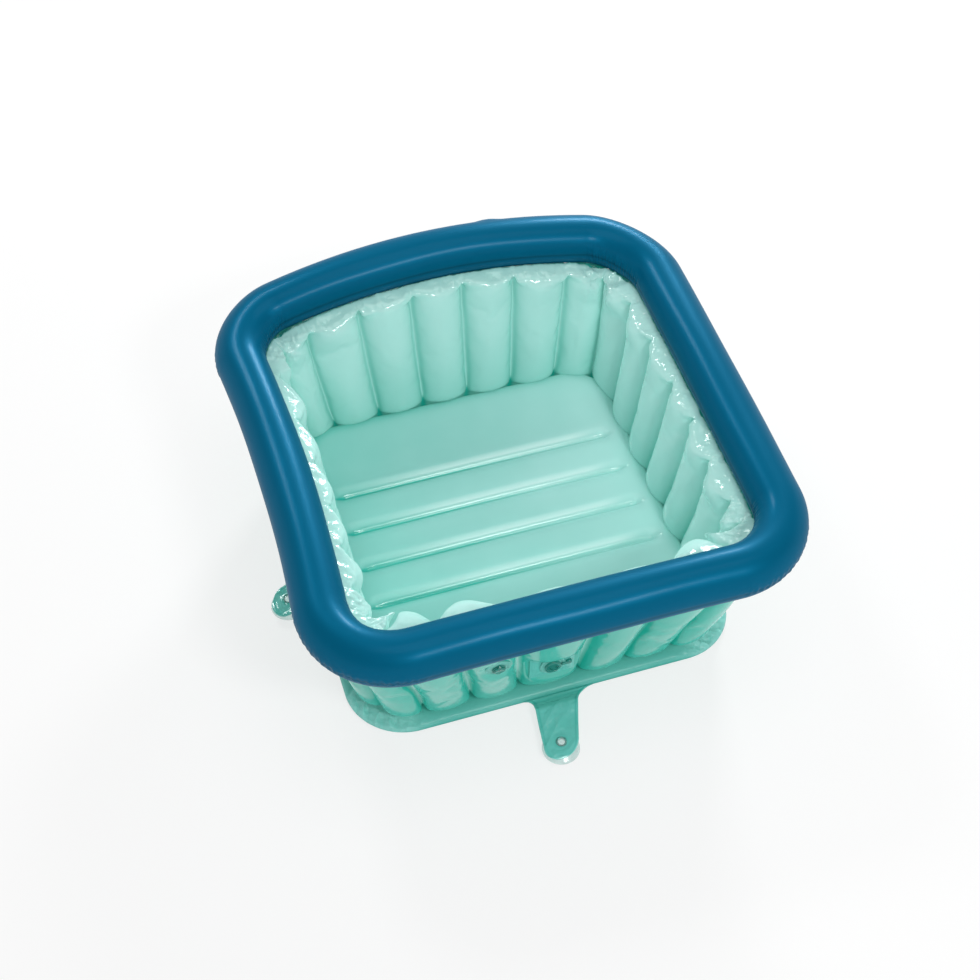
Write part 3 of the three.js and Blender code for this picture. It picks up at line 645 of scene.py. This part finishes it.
def floor_film():
    """A beamed cushion with a lip over the kerb: a net of points, finest beside the welds, and its sides."""
    half = FLOOR_HALF + FLOOR_LIP
    offsets = (0, 0.0005, 0.0012, 0.0021, 0.0033, 0.0049, 0.0070, 0.0098, 0.0135)
    rows = crowded([-half, *FLOOR_WELDS[::-1], half], offsets, 0.004)
    columns = crowded([-half, half], offsets, 0.004) / half
    beyond = np.maximum(np.abs(rows) - (half - FLOOR_CORNER), 0)
    reach = half - FLOOR_CORNER + np.sqrt(FLOOR_CORNER**2 - beyond**2)
    x, y = reach[:, None] * columns[None, :], rows[:, None] + 0 * columns[None, :]
    inside = np.maximum(-oblong_area((2 * half, 2 * half), FLOOR_CORNER)(x, y), 0)
    off_weld = np.min([np.abs(y - weld) for weld in (*FLOOR_WELDS, 1.0)], axis=0)
    beam = 1 - 0.7 * bell(off_weld, BEAM_SIDE) - 0.3 * bell(off_weld, 0.0025)
    hold = smooth(0.014, 0.034, inside)
    edge = np.sqrt(1 - (1 - np.clip(inside / 0.008, 0, 1)) ** 2)
    crown = 0.0012 * np.cos((x - 0.02) * 9) * np.cos(y * 7)
    lift = beam * hold + 0.9 * (1 - hold)
    top = np.stack([x, y, FLOOR_TOP - 0.0092 + BEAM_RISE * lift + crown - 0.0065 * (1 - edge)], -1)
    number = np.arange(x.size).reshape(x.shape)
    rim_order = np.concatenate([number[0, :-1], number[:-1, -1], number[-1, :0:-1], number[:0:-1, 0]])
    rim = top.reshape(-1, 3)[rim_order, :2]
    inner_rim = rim * (FLOOR_HALF / half)
    skirt = [np.column_stack([ring, np.full(len(rim), height)]) for ring, height in (
        (rim, KERB_HEIGHT + 0.001), (inner_rim, KERB_HEIGHT + GAP), (inner_rim, 0.025), (inner_rim, 0.003),
        (rim * 0.6, 0.003), (rim * 0.004, 0.003))]
    loops = np.concatenate([[rim_order], x.size + np.arange(len(skirt) * len(rim)).reshape(len(skirt), -1)])
    faces = [*net_faces(number), *net_faces(closed(loops)), loops[-1].tolist()]
    piece = mesh_piece("floor_film", np.concatenate([top.reshape(-1, 3), *skirt]), faces)
    to_left = smooth(-0.12, 0.12, -x)
    # Deeper colour along each weld: a narrow dark weld line, and a wider band of painted shade in the valley,
    # stronger to the left.
    weld_line_and_shade = (0.5 * bell(off_weld, 0.0018) + 0.5 * bell(off_weld + 0.001, 0.007)) * (0.3 + 0.7 * to_left) * hold
    # Deeper colour round the rim: partly the welded border, partly painted shade where the floor meets the walls.
    rim_weld_and_shade = bell(inside - 0.004, 0.010)
    ends = bell(off_weld, 0.007) * bell(inside - 0.026, 0.012)
    # Painted shade across the floor: deeper to the left, paler to the right and towards the front and back.
    painted_side_shade = 0.31 - 1.25 * x - 0.35 * np.abs(y + 0.05)
    pad = lambda field, last: np.concatenate([np.ravel(field), np.full(len(skirt) * len(rim), last)])
    seam = pad(np.clip(painted_side_shade + 0.8 * weld_line_and_shade + 0.35 * rim_weld_and_shade, 0, 1), 1.0)
    crinkle = pad(np.clip(0.3 * rim_weld_and_shade + ends, 0, 1), 0.5)
    # Painted highlight: a pale line just beyond each weld, where the beam's slope would catch the front lamp,
    # faded at both ends.
    off_line = np.min([np.abs(y - weld - 0.0075) for weld in FLOOR_WELDS], axis=0)
    shine = bell(off_line, 0.0028) * smooth(-0.18, -0.02, x) * smooth(0.03, 0.07, FLOOR_HALF - x)
    mark(piece, seam=seam, crinkle=crinkle, weld=pad(shine, 0.0))
    return crumple(piece, 0.0005, 0.024, 71)


def tenths(*pairs, above=0.0):
    """Profile points given in tenths of a millimetre, their heights counted from a level."""
    return [(across / 10000, above + height / 10000) for across, height in pairs]


BAND_PROFILE = tenths(
    (397, 24), (397, 395), (388, 415), (370, 420), (345, 417), (328, 400), (324, 360), (323, 150), (316, 140),
    (290, 139), (200, 138), (120, 136), (80, 131), (52, 123), (30, 112), (16, 98), (7, 80), (2, 62), (0, 48),
    (4, 34), (16, 24), (40, 19), (120, 18), (390, 18))


def base_rings(profile, places, axis):
    """Lines of points round the base, at the insets and heights of a profile."""
    plans = [inset_plan(BASE, inset, height, CORNER_SHARE) for inset, height in profile]
    return np.stack([all_round(plan, places) for plan in plans], axis)


def band_film():
    """The low band round the foot, pulled into fans of creases at its corners."""
    places = places_round(60, 30)
    rings = base_rings(BAND_PROFILE, places, 1)
    corner = smooth(0.8, 1.4, np.abs(np.tile(places, 4)))[:, None]
    travel = travelled(rings[:, 18])[:, None]
    inset, height = np.array(BAND_PROFILE).T
    fan = 1 - 2 * np.abs(np.sin(travel * math.pi / 0.021 + inset[None, :] * 110))
    fan = fan + 0.5 * (1 - 2 * np.abs(np.sin(travel * math.pi / 0.0128 + inset[None, :] * 150 + 1)))
    shown = (bell(inset - 0.008, 0.010) * (height > 0.005) * (inset < 0.03))[None, :]
    rings[..., 2] += 0.0019 * (0.04 + corner) * (fan - 1.2) * shown
    piece = mesh_piece("band_film", rings, loft_faces(len(rings), len(BAND_PROFILE), True))
    # Painted shade and light on the band: deeper low by the ground and under the ribs' feet, paler on its top, and
    # paler at the corners as painted light through the creased film.
    low = 0.5 + 0.5 * bell(height - 0.004, 0.003) + 0.4 * bell(inset - 0.026, 0.008)
    crinkle = np.clip(0.15 + corner * np.ones(len(inset))[None, :], 0, 1)
    mark(piece, crinkle=crinkle, seam=np.clip(low - (height > 0.03) * 0.4 - 0.6 * corner, 0, 1))
    return refine(piece)


def bottom_sheet():
    """The flat sheet on the ground, thinner along its welded border."""
    places = places_round(24, 8)
    rings = base_rings(tenths((40, 15), (26, 14), (21, 9), (21, 5), (28, 1), (60, 0)), places, 0)
    number = np.arange(rings[..., 0].size).reshape(rings.shape[:2])
    faces = [*net_faces(closed(number)), number[0, ::-1].tolist(), number[-1].tolist()]
    piece = mesh_piece("bottom_sheet", rings, faces)
    mark(piece, crinkle=0.3, seam=0.6)
    return piece


# ---- tabs
def tab_film(side, reach, slant, shift):
    """A flat tab with a bead along its edge and a ring welded round the cup's hole."""
    bpy.ops.object.select_all(action="DESELECT")
    bpy.ops.mesh.primitive_grid_add(x_subdivisions=48, y_subdivisions=84, size=2)
    piece = bpy.context.object
    piece.name = piece.data.name = f"tab_film_{side}"
    flat = points_of(piece)
    across, along = flat[:, 0], (1 - flat[:, 1]) / 2
    whole = reach + TIP_HALF
    out = whole * (0.3 * along + 0.7 * np.sin(along * math.pi / 2))
    root_half, radius = (np.where(across < 0, *pair) for pair in (ROOT_HALVES, FILLETS))
    half = root_half + (TIP_HALF - root_half) * np.minimum(out / reach, 1)
    tip = np.sqrt(np.maximum(TIP_HALF**2 - np.maximum(out - reach, 0) ** 2, 0)) / TIP_HALF
    fillet = radius - np.sqrt(radius**2 - np.maximum(radius - out, 0) ** 2)
    side_way = across * (half * np.maximum(tip, 0.02) + fillet)
    climb = smooth(0.002, 0.020, out)
    middle = TAB_ROOT_HEIGHT + (CUP_TOP - TAB_THICKNESS / 2 - TAB_ROOT_HEIGHT) * climb
    edge = np.minimum((1 - np.abs(across)) * half, whole - out)
    hole = np.hypot(side_way, out - reach)
    bead = 0.00022 * bell(edge - TAB_BEAD, 0.0008) + 0.00035 * bell(hole - HOLE_BEAD, 0.0009)
    root_lines = bell(out - 0.0042 - side_way * 0.06, 0.0007) + bell(out - 0.0075 + side_way * 0.05, 0.0007)
    thin = TAB_THICKNESS * 0.29 * (1 - smooth(0.0002, 0.0016, edge))
    slack = smooth(0.010, 0.020, out) * smooth(0.008, 0.016, hole)
    buckle = folds(np.stack([side_way, out, 0 * out], -1), 0.022, 4, 90 + SIDES.index(side))
    sag = (0.0007 * np.sin(out * 95 + side_way * 30) + 0.0011 * buckle) * slack
    place = np.stack([shift + side_way + slant * out, -BASE_HALF - GAP - out], -1)
    upper = np.column_stack([place, middle + sag + TAB_THICKNESS / 2 + bead + 0.0005 * root_lines - thin])
    lower = np.column_stack([place, middle + sag - TAB_THICKNESS / 2 + thin])
    # the skin's second half keeps the grid's order
    finish_with(piece, "SOLIDIFY", thickness=0.1, offset=-1)
    set_points(piece, np.concatenate([upper, lower]))
    weld = 0.3 + 0.4 * bell(edge - TAB_BEAD, 0.0012) + 0.7 * bell(hole, 0.0065) + 0.3 * bell(out - 0.0055, 0.003)
    crinkle = 0.3 + 0.5 * bell(out - 0.02, 0.012)
    # Painted light: the tab is paler over the clear cup, as if light came through the film from the cup and ground
    # beneath.
    painted_light_over_cup = smooth(-0.020, -0.014, out - reach) * smooth(0.006, 0.010, hole)
    mark(piece, seam=np.clip(weld, 0, 1), crinkle=crinkle, weld=0.45 * painted_light_over_cup)
    face_out(piece)
    turn = Matrix.Rotation(SIDES.index(side) * math.pi / 2, 4, "Z")
    piece.data.transform(turn)
    hole_place = turn @ Matrix.Translation((shift + slant * reach, -BASE_HALF - GAP - reach, 0))
    return cut(piece, rod(HOLE_RADIUS, 0.005, 0.025, hole_place)), hole_place, turn


# ---- small mouldings
def begin(kind, **settings):
    """Adds a primitive by itself and opens it for shaping, all of it selected."""
    bpy.ops.object.select_all(action="DESELECT")
    getattr(bpy.ops.mesh, f"primitive_{kind}_add")(**settings)
    bpy.ops.object.mode_set(mode="EDIT")
    bpy.ops.mesh.select_all(action="SELECT")
    return bpy.context.object


def close(piece, name, seat=None, round_edges=0.0):
    """Merges, turns the faces outward, rounds the edges and puts the piece on its seat."""
    bpy.ops.mesh.select_all(action="SELECT")
    bpy.ops.mesh.remove_doubles(threshold=1e-6)
    bpy.ops.mesh.normals_make_consistent(inside=False)
    bpy.ops.object.mode_set(mode="OBJECT")
    piece.name = piece.data.name = name
    if round_edges:
        sharp = {"limit_method": "ANGLE", "angle_limit": math.radians(32)}
        finish_with(piece, "BEVEL", width=round_edges, segments=2, **sharp)
    pick(piece)
    bpy.ops.object.transform_apply(location=True, rotation=True, scale=True)
    bpy.ops.object.shade_smooth_by_angle(angle=math.radians(40))
    if seat is not None:
        piece.data.transform(seat)
    return piece


def turned(name, profile, seat=None, steps=56, closed=False):
    """A moulding spun about Z from (radius, height) pairs."""
    piece = begin("plane", size=0.001)
    bpy.ops.mesh.merge(type="CENTER")
    bpy.ops.transform.translate(value=(profile[0][0], 0, profile[0][1]))
    route = [*profile, profile[0]] if closed else profile
    for (r0, h0), (r1, h1) in zip(route, route[1:]):
        bpy.ops.mesh.extrude_region_move(TRANSFORM_OT_translate={"value": (r1 - r0, 0, h1 - h0)})
    bpy.ops.mesh.select_all(action="SELECT")
    bpy.ops.mesh.spin(steps=steps, angle=2 * math.pi, center=(0, 0, 0), axis=(0, 0, 1))
    return close(piece, name, seat)


def rod(radius, low, high, seat):
    piece = begin("cylinder", vertices=48, radius=radius, depth=high - low, location=(0, 0, (low + high) / 2))
    return close(piece, "rod", seat)


def strip(name, low, high, seat=None):
    """A flat bar between two corners, its edges rounded."""
    piece = begin("cube", size=1, location=[(a + b) / 2 for a, b in zip(low, high)])
    bpy.ops.transform.resize(value=[b - a for a, b in zip(low, high)])
    bpy.ops.mesh.subdivide(number_cuts=3)
    return close(piece, name, seat, round_edges=0.0003)


def together(name, first, *others):
    pick(first, *others)
    bpy.ops.object.join()
    first.name = first.data.name = name
    return first


def valve_pocket(seat):
    return rod(COLLAR_RADIUS + 0.0006, -STEM_DEPTH - 0.0065, 0.01, seat)


def valve_set(name, seat, flange_look, stem_look):
    flange = turned(
        f"{name}_weld_ring",
        [*tenths((63, 0), (74, 0), (84, -4), (112, -6), (117, -2), (122, -6), (136, -8), (141, -4), (146, -9),
                 (150, -13), (148, -16)),
         (COLLAR_RADIUS, -0.0016), (COLLAR_RADIUS, -0.0117), *tenths((77, -120), (63, -120))],
        seat, steps=72, closed=True)
    stem = turned(
        f"{name}_tube",
        [(STEM_BORE, RIM_TOP - 0.0002), *tenths((36, 0), (78, 0), (82, -4), above=RIM_TOP),
         *tenths((82, 7), (79, 3), (60, 3), (60, -208), (56, -220)), (STEM_BORE, -0.0220)],
        seat, closed=True)
    lug = strip("lug", (-0.002, 0.0070, 0.0003), (0.002, HINGE_REACH, RIM_TOP), seat)
    together(f"{name}_tube", stem, lug)
    flap = turned(
        f"{name}_check_flap",
        tenths((0, -231), (34, -231), (39, -229), (39, -224), (36, -223), (0, -223)),
        seat, steps=40)
    cap = turned(
        f"{name}_stopper",
        [*tenths((0, -9), (17, -10), (22, -6), (27, 18)), *tenths((30, 0), (66, 0), above=CAP_FOOT),
         *tenths((70, 27), (69, 33), (62, 39), (52, 40), (47, 36), (12, 35), (0, 35))],
        seat)
    strap = strip("strap", (-0.002, 0.0062, CAP_FOOT), (0.002, HINGE_REACH, CAP_FOOT + 0.001), seat)
    grip = strip("grip", (-0.0019, -0.0092, CAP_FOOT + 0.0002), (0.0019, -0.0062, CAP_FOOT + 0.0010), seat)
    together(f"{name}_stopper", cap, strap, grip)
    dress(flange, flange_look, "tub", f"{name}_flange")
    for piece, part in ((stem, "stem"), (flap, "flap"), (cap, "cap")):
        dress(piece, stem_look, f"{name}_{part}", f"{name}_{part}")


def suction_cup(name, seat):
    """A thin dome with a rippled top and a button above, which passes through the tab's hole."""
    lip = 0.0009
    dome = lambda r, rise: rise * (1 - (r / CUP_RADIUS) ** 2)
    ripple = lambda r: 0.00025 * math.cos(r * 2600)
    top = [(r, lip + dome(r, CUP_DOME - lip) + ripple(r)) for r in np.linspace(0.0046, 0.0212, 12)]
    under = [(r, dome(r, CUP_DOME - 0.0024)) for r in np.linspace(0.0208, 0.002, 12)]
    button = CUP_TOP + GAP
    profile = [
        *tenths((0, 24), (30, 26), (52, 22), (63, 12), (65, 4), (61, 0), (38, -2), above=button),
        (0.0038, CUP_DOME + 0.0004), *top, (0.0218, 0.0009), (CUP_RADIUS, 0.0005), (0.0217, 0.0), (0.0213, 0.0),
        *under, (0, CUP_DOME - 0.0024),
    ]
    return turned(name, profile, seat, steps=72)


def select(piece, kind, wanted):
    """Selects only those edges or faces that are wanted."""
    bpy.ops.mesh.select_all(action="DESELECT")
    shell = bmesh.from_edit_mesh(piece.data)
    for entry in getattr(shell, kind):
        entry.select_set(wanted(entry))
    bmesh.update_edit_mesh(piece.data)


def patch_plate():
    """The doubled plate round the drain, its border pressed down by the weld."""
    piece = begin("cube", size=1, location=(0, 0, -PATCH_THICKNESS / 2))
    bpy.ops.transform.resize(value=(*PATCH_SIZE, PATCH_THICKNESS))
    select(piece, "edges", lambda edge: abs(edge.verts[0].co.z - edge.verts[1].co.z) > 1e-5)
    bpy.ops.mesh.bevel(offset=PATCH_CORNER, segments=10, affect="EDGES")
    select(piece, "faces", lambda face: face.normal.z > 0.9)
    for border, sink in ((0.0022, -0.0008), (0.0008, 0.0), (0.0016, 0.0008), (0.0030, 0.0)):
        bpy.ops.mesh.inset(thickness=border, depth=sink)
    close(piece, "drain_patch_plate", round_edges=0.0004)
    cut(piece, rod(DRAIN_TUBE + GAP, -0.01, 0.01, Matrix()))
    piece.data.transform(DRAIN)
    mark(piece, seam=0.5, crinkle=0.2)
    return piece


def drain_set():
    top, foot, plug_foot = 0.0019, -DRAIN_DEPTH - GAP - 0.0016, 0.0022
    outlet = turned(
        "drain_tube",
        [(DRAIN_BORE, top),
         *tenths((98, 0), (104, -4), (124, -4), (129, 0), (141, 0), (148, -4), (150, -9), above=top),
         (0.0147, 0.0003), (DRAIN_TUBE, 0.0003),
         (DRAIN_TUBE, foot + 0.0004), (0.0092, foot), (DRAIN_BORE, foot)],
        DRAIN, steps=72, closed=True)
    ring_top = -DRAIN_DEPTH - GAP
    clamp = turned(
        "drain_clamp_ring",
        [*tenths((98, 0), (133, 0), (135, -6), above=ring_top), *tenths((128, 0), (112, 0), (98, 0), above=foot)],
        DRAIN, closed=True)
    head = turned(
        "drain_stopper",
        tenths((0, -105), (40, -112), (52, -119), (59, -115), (61, -60), (64, -56), (64, -46), (61, -42), (66, 0),
               (97, 0), (100, 4), (100, 14), (94, 24), (82, 30), (66, 28), (0, 26), above=plug_foot),
        DRAIN, steps=64)
    loop_foot = plug_foot + 0.0018
    loop = begin("torus", major_radius=0.005, minor_radius=0.0012, major_segments=36, minor_segments=14,
                 rotation=(math.pi / 2, 0, 0), location=(0, 0, loop_foot))
    bpy.ops.mesh.bisect(plane_co=(0, 0, loop_foot), plane_no=(0, 0, 1), use_fill=True, clear_inner=True)
    close(loop, "loop", DRAIN)
    together("drain_stopper", head, loop)
    anchor = turned(
        "anchor", tenths((0, 3), (34, 3), (35, 6), (32, 26), (26, 33), (0, 34)),
        DRAIN @ Matrix.Translation((0.020, 0, 0)), steps=36)
    strap_low, strap_high = plug_foot + 0.00015, plug_foot + 0.00115
    strap = strip("drain_strap", (0.0104, -0.002, strap_low), (0.0200, 0.002, strap_high), DRAIN)
    together("drain_strap", strap, anchor)
    for piece, material, body, node, slot in (
        (patch_plate(), tab_look, "tub", "drain_patch", "tab_vinyl"),
        (outlet, valve_look, "tub", "drain_outlet", "valve_vinyl"),
        (clamp, valve_look, "tub", "drain_inner_ring", "valve_vinyl"),
        (head, tinted_look, "drain_plug", "drain_plug", "clear_vinyl"),
    ):
        dress(piece, material, body, node)
    paint(strap, tinted_look)
    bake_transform(strap)
    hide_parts("drain_tether")


# ---- shading
class Value:
    """A number in a material, which takes part in sums."""

    def __init__(self, look, socket):
        self.look, self.socket = look, socket

    def _with(self, operation, *others, swapped=False):
        entries = (*others, self) if swapped else (self, *others)
        made = self.look.add("ShaderNodeMath", {"operation": operation})
        for entry, value in zip(made.inputs, entries):
            self.look.feed(entry, value)
        return Value(self.look, made.outputs[0])

    def __add__(self, other):
        return self._with("ADD", other)

    def __sub__(self, other):
        return self._with("SUBTRACT", other)

    def __rsub__(self, other):
        return self._with("SUBTRACT", other, swapped=True)

    def __mul__(self, other):
        return self._with("MULTIPLY", other)

    __radd__, __rmul__ = __add__, __mul__

    def clipped(self):
        return self._with("MAXIMUM", 0.0)._with("MINIMUM", 1.0)


class Look:
    """A material under construction."""

    def __init__(self, name):
        self.material = bpy.data.materials.new(name)
        self.material.use_nodes = True
        self.tree = self.material.node_tree
        self.shader = self.tree.nodes["Principled BSDF"]
        self.place = self.add("ShaderNodeTexCoord").outputs["Object"]

    def add(self, kind, settings=None, **sockets):
        made = self.tree.nodes.new(kind)
        for key, value in (settings or {}).items():
            setattr(made, key, value)
        for key, value in sockets.items():
            self.feed(made.inputs[key.replace("_", " ")], value)
        return made

    def feed(self, entry, value):
        if isinstance(value, Value):
            value = value.socket
        if isinstance(value, bpy.types.NodeSocket):
            self.tree.links.new(value, entry)
        else:
            entry.default_value = value

    def attribute(self, name):
        return Value(self, self.add("ShaderNodeAttribute", {"attribute_name": name}).outputs["Fac"])

    def noise(self, scale, detail=2.0, roughness=0.5):
        settings = {"Scale": scale, "Detail": detail, "Roughness": roughness}
        return Value(self, self.add("ShaderNodeTexNoise", Vector=self.place, **settings).outputs[0])

    def shifted(self, amount, scale):
        """Object coordinates pushed about by a slow noise."""
        push = self.add("ShaderNodeTexNoise", Vector=self.place, Scale=scale, Detail=1.0)
        moved = self.add("ShaderNodeVectorMath", {"operation": "MULTIPLY_ADD"})
        for entry, value in zip(moved.inputs, (push.outputs["Color"], (amount,) * 3, self.place)):
            self.feed(entry, value)
        return moved.outputs[0]

    def cells(self, scale, where):
        made = self.add("ShaderNodeTexVoronoi", Vector=where, Scale=scale)
        return Value(self, made.outputs["Distance"])

    def mix(self, share, first, second):
        made = self.add("ShaderNodeMix", {"data_type": "RGBA"})
        self.feed(made.inputs[0], share)
        self.feed(made.inputs[6], first)
        self.feed(made.inputs[7], second)
        return made.outputs[2]

    def bump(self, height, distance, strength=1.0):
        return self.add("ShaderNodeBump", Strength=strength, Distance=distance, Height=height).outputs[0]

    def set(self, **sockets):
        for key, value in sockets.items():
            self.feed(self.shader.inputs[key.replace("_", " ")], value)


def colour(shade):
    """The light given by a shade that is written in steps from 0 to 255."""
    steps = (step / 255 for step in shade)
    linear = [part / 12.92 if part <= 0.04045 else ((part + 0.055) / 1.055) ** 2.4 for part in steps]
    return (*linear, 1.0)


def film_look(name, crest, seam, painted_highlight=None, roughness=0.2, creasing=1.0, specular=0.4, metallic=0.0, coat=0.0,
              painted_glow=0.0):
    """Glossy inflated film, deeper in colour where layers meet and where shade is painted, paler along painted
    highlights, creased beside welds, and with a painted glow that stands in for light through the film.
    """
    look = Look(name)
    crest, seam, painted_highlight = map(colour, (crest, seam, painted_highlight or crest))
    seam_and_shade_share, crinkle = look.attribute("seam"), look.attribute("crinkle")
    cloud, grain = look.noise(9.0, 3.0), look.noise(900.0, 2.0)
    depth = (seam_and_shade_share + (cloud - 0.5) * 0.3).clipped()
    # Painted highlight: where the weld attribute is set the colour pales towards the highlight colour.
    tint = look.mix(look.attribute("weld").clipped() * 0.8, look.mix(depth, crest, seam), painted_highlight)
    # Painted glow: the emission stands in for light that passes through the film.
    look.set(Base_Color=tint, Metallic=metallic, Emission_Color=tint, Emission_Strength=painted_glow)
    look.set(Coat_Weight=coat, Coat_Roughness=0.2)
    look.set(Roughness=(cloud - 0.5) * 0.1 + grain * 0.03 + roughness)
    facets = look.cells(120.0, look.shifted(0.012, 70.0))
    wrinkle = look.noise(60.0, 4.0, 0.6)
    height = crinkle * (facets * 0.8 + wrinkle * 0.8) * creasing + cloud * 0.25 + grain * 0.004
    look.set(Normal=look.bump(height, 0.002), Specular_IOR_Level=specular, IOR=1.5)
    return look.material


def moulded_look(name, body, shade, roughness=0.33):
    """Soft moulded vinyl with a fine satin grain, darker in random clouds."""
    look = Look(name)
    cloud, grain = look.noise(55.0, 3.0), look.noise(1500.0, 2.0)
    look.set(Base_Color=look.mix((cloud * 0.7).clipped(), colour(body), colour(shade)))
    look.set(Roughness=cloud * 0.12 + grain * 0.05 + roughness)
    look.set(Normal=look.bump(cloud * 0.4 + grain * 0.1, 0.0004), Specular_IOR_Level=0.45)
    return look.material


def clear_vinyl(name, thin, thick, clearness):
    """Clear soft vinyl, faintly green, with flow marks from its mould."""
    look = Look(name)
    flow, grain = look.noise(120.0, 3.0), look.noise(1400.0, 1.0)
    look.set(Base_Color=look.mix((flow * 0.8).clipped(), colour(thin), colour(thick)))
    look.set(Roughness=flow * 0.10 + grain * 0.03 + 0.08, Transmission_Weight=clearness, IOR=1.45)
    look.set(Normal=look.bump(flow * 0.5 + grain * 0.06, 0.0004))
    return look.material


ring_look = film_look(
    "ring film", (0, 98, 133), (0, 80, 108), roughness=0.42, creasing=0.6, specular=0.02, metallic=0.3, coat=0.07)
wall_look = film_look("wall film", (182, 227, 221), (34, 172, 155), roughness=0.13, specular=0.6, painted_glow=0.17)
floor_look = film_look(
    "floor film", (178, 225, 220), (48, 178, 162), (210, 239, 235), roughness=0.17, creasing=0.5, painted_glow=0.14)
band_look = film_look("band film", (136, 212, 203), (28, 162, 148), roughness=0.32, specular=0.3, painted_glow=0.08)
tab_look = film_look("tab film", (124, 208, 199), (60, 178, 165), roughness=0.14, specular=0.6, painted_glow=0.1)
valve_look = moulded_look("valve moulding", (124, 204, 194), (86, 184, 172))
ring_valve_look = moulded_look("ring valve moulding", (6, 118, 156), (4, 96, 130))
clear_look = clear_vinyl("clear vinyl", (232, 246, 244), (204, 234, 230), clearness=0.9)
tinted_look = clear_vinyl("tinted clear vinyl", (56, 168, 155), (36, 148, 136), clearness=0.3)


def dress(piece, material, body, node):
    paint(piece, material)
    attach(piece, body)
    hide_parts(node)
    return piece


# ---- the tub
inflated = [(ring_film(), ring_look, "top_ring", "ring_vinyl")]
inflated += [(finished_wall(number), wall_look, f"wall_{side}", "wall_vinyl") for number, side in enumerate(SIDES)]
inflated += [(floor_film(), floor_look, "floor_pad", "floor_vinyl")]
for piece, look, node, slot in inflated:
    dress(piece, look, "tub", node)
for piece, node in ((band_film(), "base_band"), (bottom_sheet(), "base_sheet")):
    dress(piece, band_look, "tub", node)

for side, plan in TAB_PLANS.items():
    tab, cup_seat, turn = tab_film(side, *plan)
    paint(tab, tab_look)
    root = Vector((plan[2], -BASE_HALF, TAB_ROOT_HEIGHT))
    bend_end = root - Vector((0, TAB_FOLD, 0))
    tuple(turn @ root)
    tuple(turn @ bend_end)
    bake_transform(tab)
    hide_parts(f"tab_{side}")
    cup = suction_cup(f"clear_cup_{side}", cup_seat)
    dress(cup, clear_look, f"suction_cup_{side}", f"suction_cup_{side}")

valve_set("wall_valve", WALL_VALVE, valve_look, tinted_look)
valve_set("ring_valve", RING_VALVE, ring_valve_look, clear_look)
drain_set()


# ---- camera, light and ground
def looking_in(middle, azimuth, elevation, roll, offset):
    """A place that looks at the tub's middle, its azimuth counted from the front towards the right."""
    place = Matrix.Translation(middle)
    for axis, degrees in (("Z", azimuth), ("X", 90 - elevation), ("Z", roll)):
        place = place @ Matrix.Rotation(math.radians(degrees), 4, axis)
    return place @ Matrix.Translation(offset)


lens = bpy.data.cameras.new("camera")
lens.lens = 64.89
lens.sensor_width = 36
lens.clip_start, lens.clip_end = 0.05, 50
camera = add_object("camera", lens)
camera.matrix_world = looking_in(
    (0, RING["shift"], RING_HEIGHT), azimuth=-17.97, elevation=51.52, roll=0.571,
    offset=(-0.01203, -0.06066, 2.04258))
bpy.context.scene.camera = camera


def softbox(name, azimuth, elevation, distance, size, power):
    light = bpy.data.lights.new(name, "AREA")
    light.shape = "RECTANGLE"
    light.size, light.size_y = size
    light.energy = power
    holder = add_object(name, light)
    holder.matrix_world = looking_in((0, 0, 0.15), azimuth, elevation, 0, (0, 0, distance))


softbox("front lamp", 15, 47, 2.6, (0.55, 0.36), 20)
softbox("back right lamp", 148, 24, 2.6, (0.55, 0.5), 33)
softbox("back left lamp", -160, 45, 2.6, (0.55, 0.4), 14)
softbox("overhead lamp", 60, 82, 2.8, (1.6, 1.6), 13)

SEEING_RAYS = ("Camera", "Glossy", "Transmission")
GROUND_GLOW = 0.72
CEILING_DIMMING = 0.72


def ground():
    """White floor that shines by itself for the rays that look at it, and not for those that light it."""
    plane = begin("plane", size=12, location=(0, 0, -0.0005))
    bpy.ops.mesh.subdivide(number_cuts=3)
    close(plane, "ground")
    look = Look("ground")
    speckle = look.noise(40.0, 3.0)
    look.set(Base_Color=look.mix(speckle * 0.3, colour((252,) * 3), colour((247,) * 3)), Roughness=0.6)
    look.set(Specular_IOR_Level=0.1)
    white = look.add("ShaderNodeEmission", Color=(1, 1, 1, 1), Strength=1.0)
    mixed = look.add("ShaderNodeMixShader")
    path = look.add("ShaderNodeLightPath")
    seen, mirrored, refracted = (Value(look, path.outputs[f"Is {ray} Ray"]) for ray in SEEING_RAYS)
    look.feed(mixed.inputs[0], (seen + mirrored + refracted).clipped() * GROUND_GLOW)
    look.feed(mixed.inputs[1], look.shader.outputs[0])
    look.feed(mixed.inputs[2], white.outputs[0])
    look.feed(look.tree.nodes["Material Output"].inputs[0], mixed.outputs[0])
    plane.data.materials.append(look.material)


ground()


class Studio(Look):
    """The world: white round the horizon and to the camera, with a dimmer ceiling."""

    def __init__(self):
        world = bpy.data.worlds.new("studio")
        world.use_nodes = True
        bpy.context.scene.world = world
        self.tree = world.node_tree
        self.shader = self.tree.nodes["Background"]
        way = self.add("ShaderNodeTexCoord").outputs["Generated"]
        height = Value(self, self.add("ShaderNodeSeparateXYZ", Vector=way).outputs[2])
        ceiling = ((height - 0.1) * 2.5).clipped()
        camera_ray = Value(self, self.add("ShaderNodeLightPath").outputs["Is Camera Ray"])
        dimming = ceiling * CEILING_DIMMING * (1 - camera_ray)
        self.set(Color=(1, 1, 1, 1), Strength=1 - dimming)


Studio()
bpy.context.scene.view_settings.view_transform = "Standard"
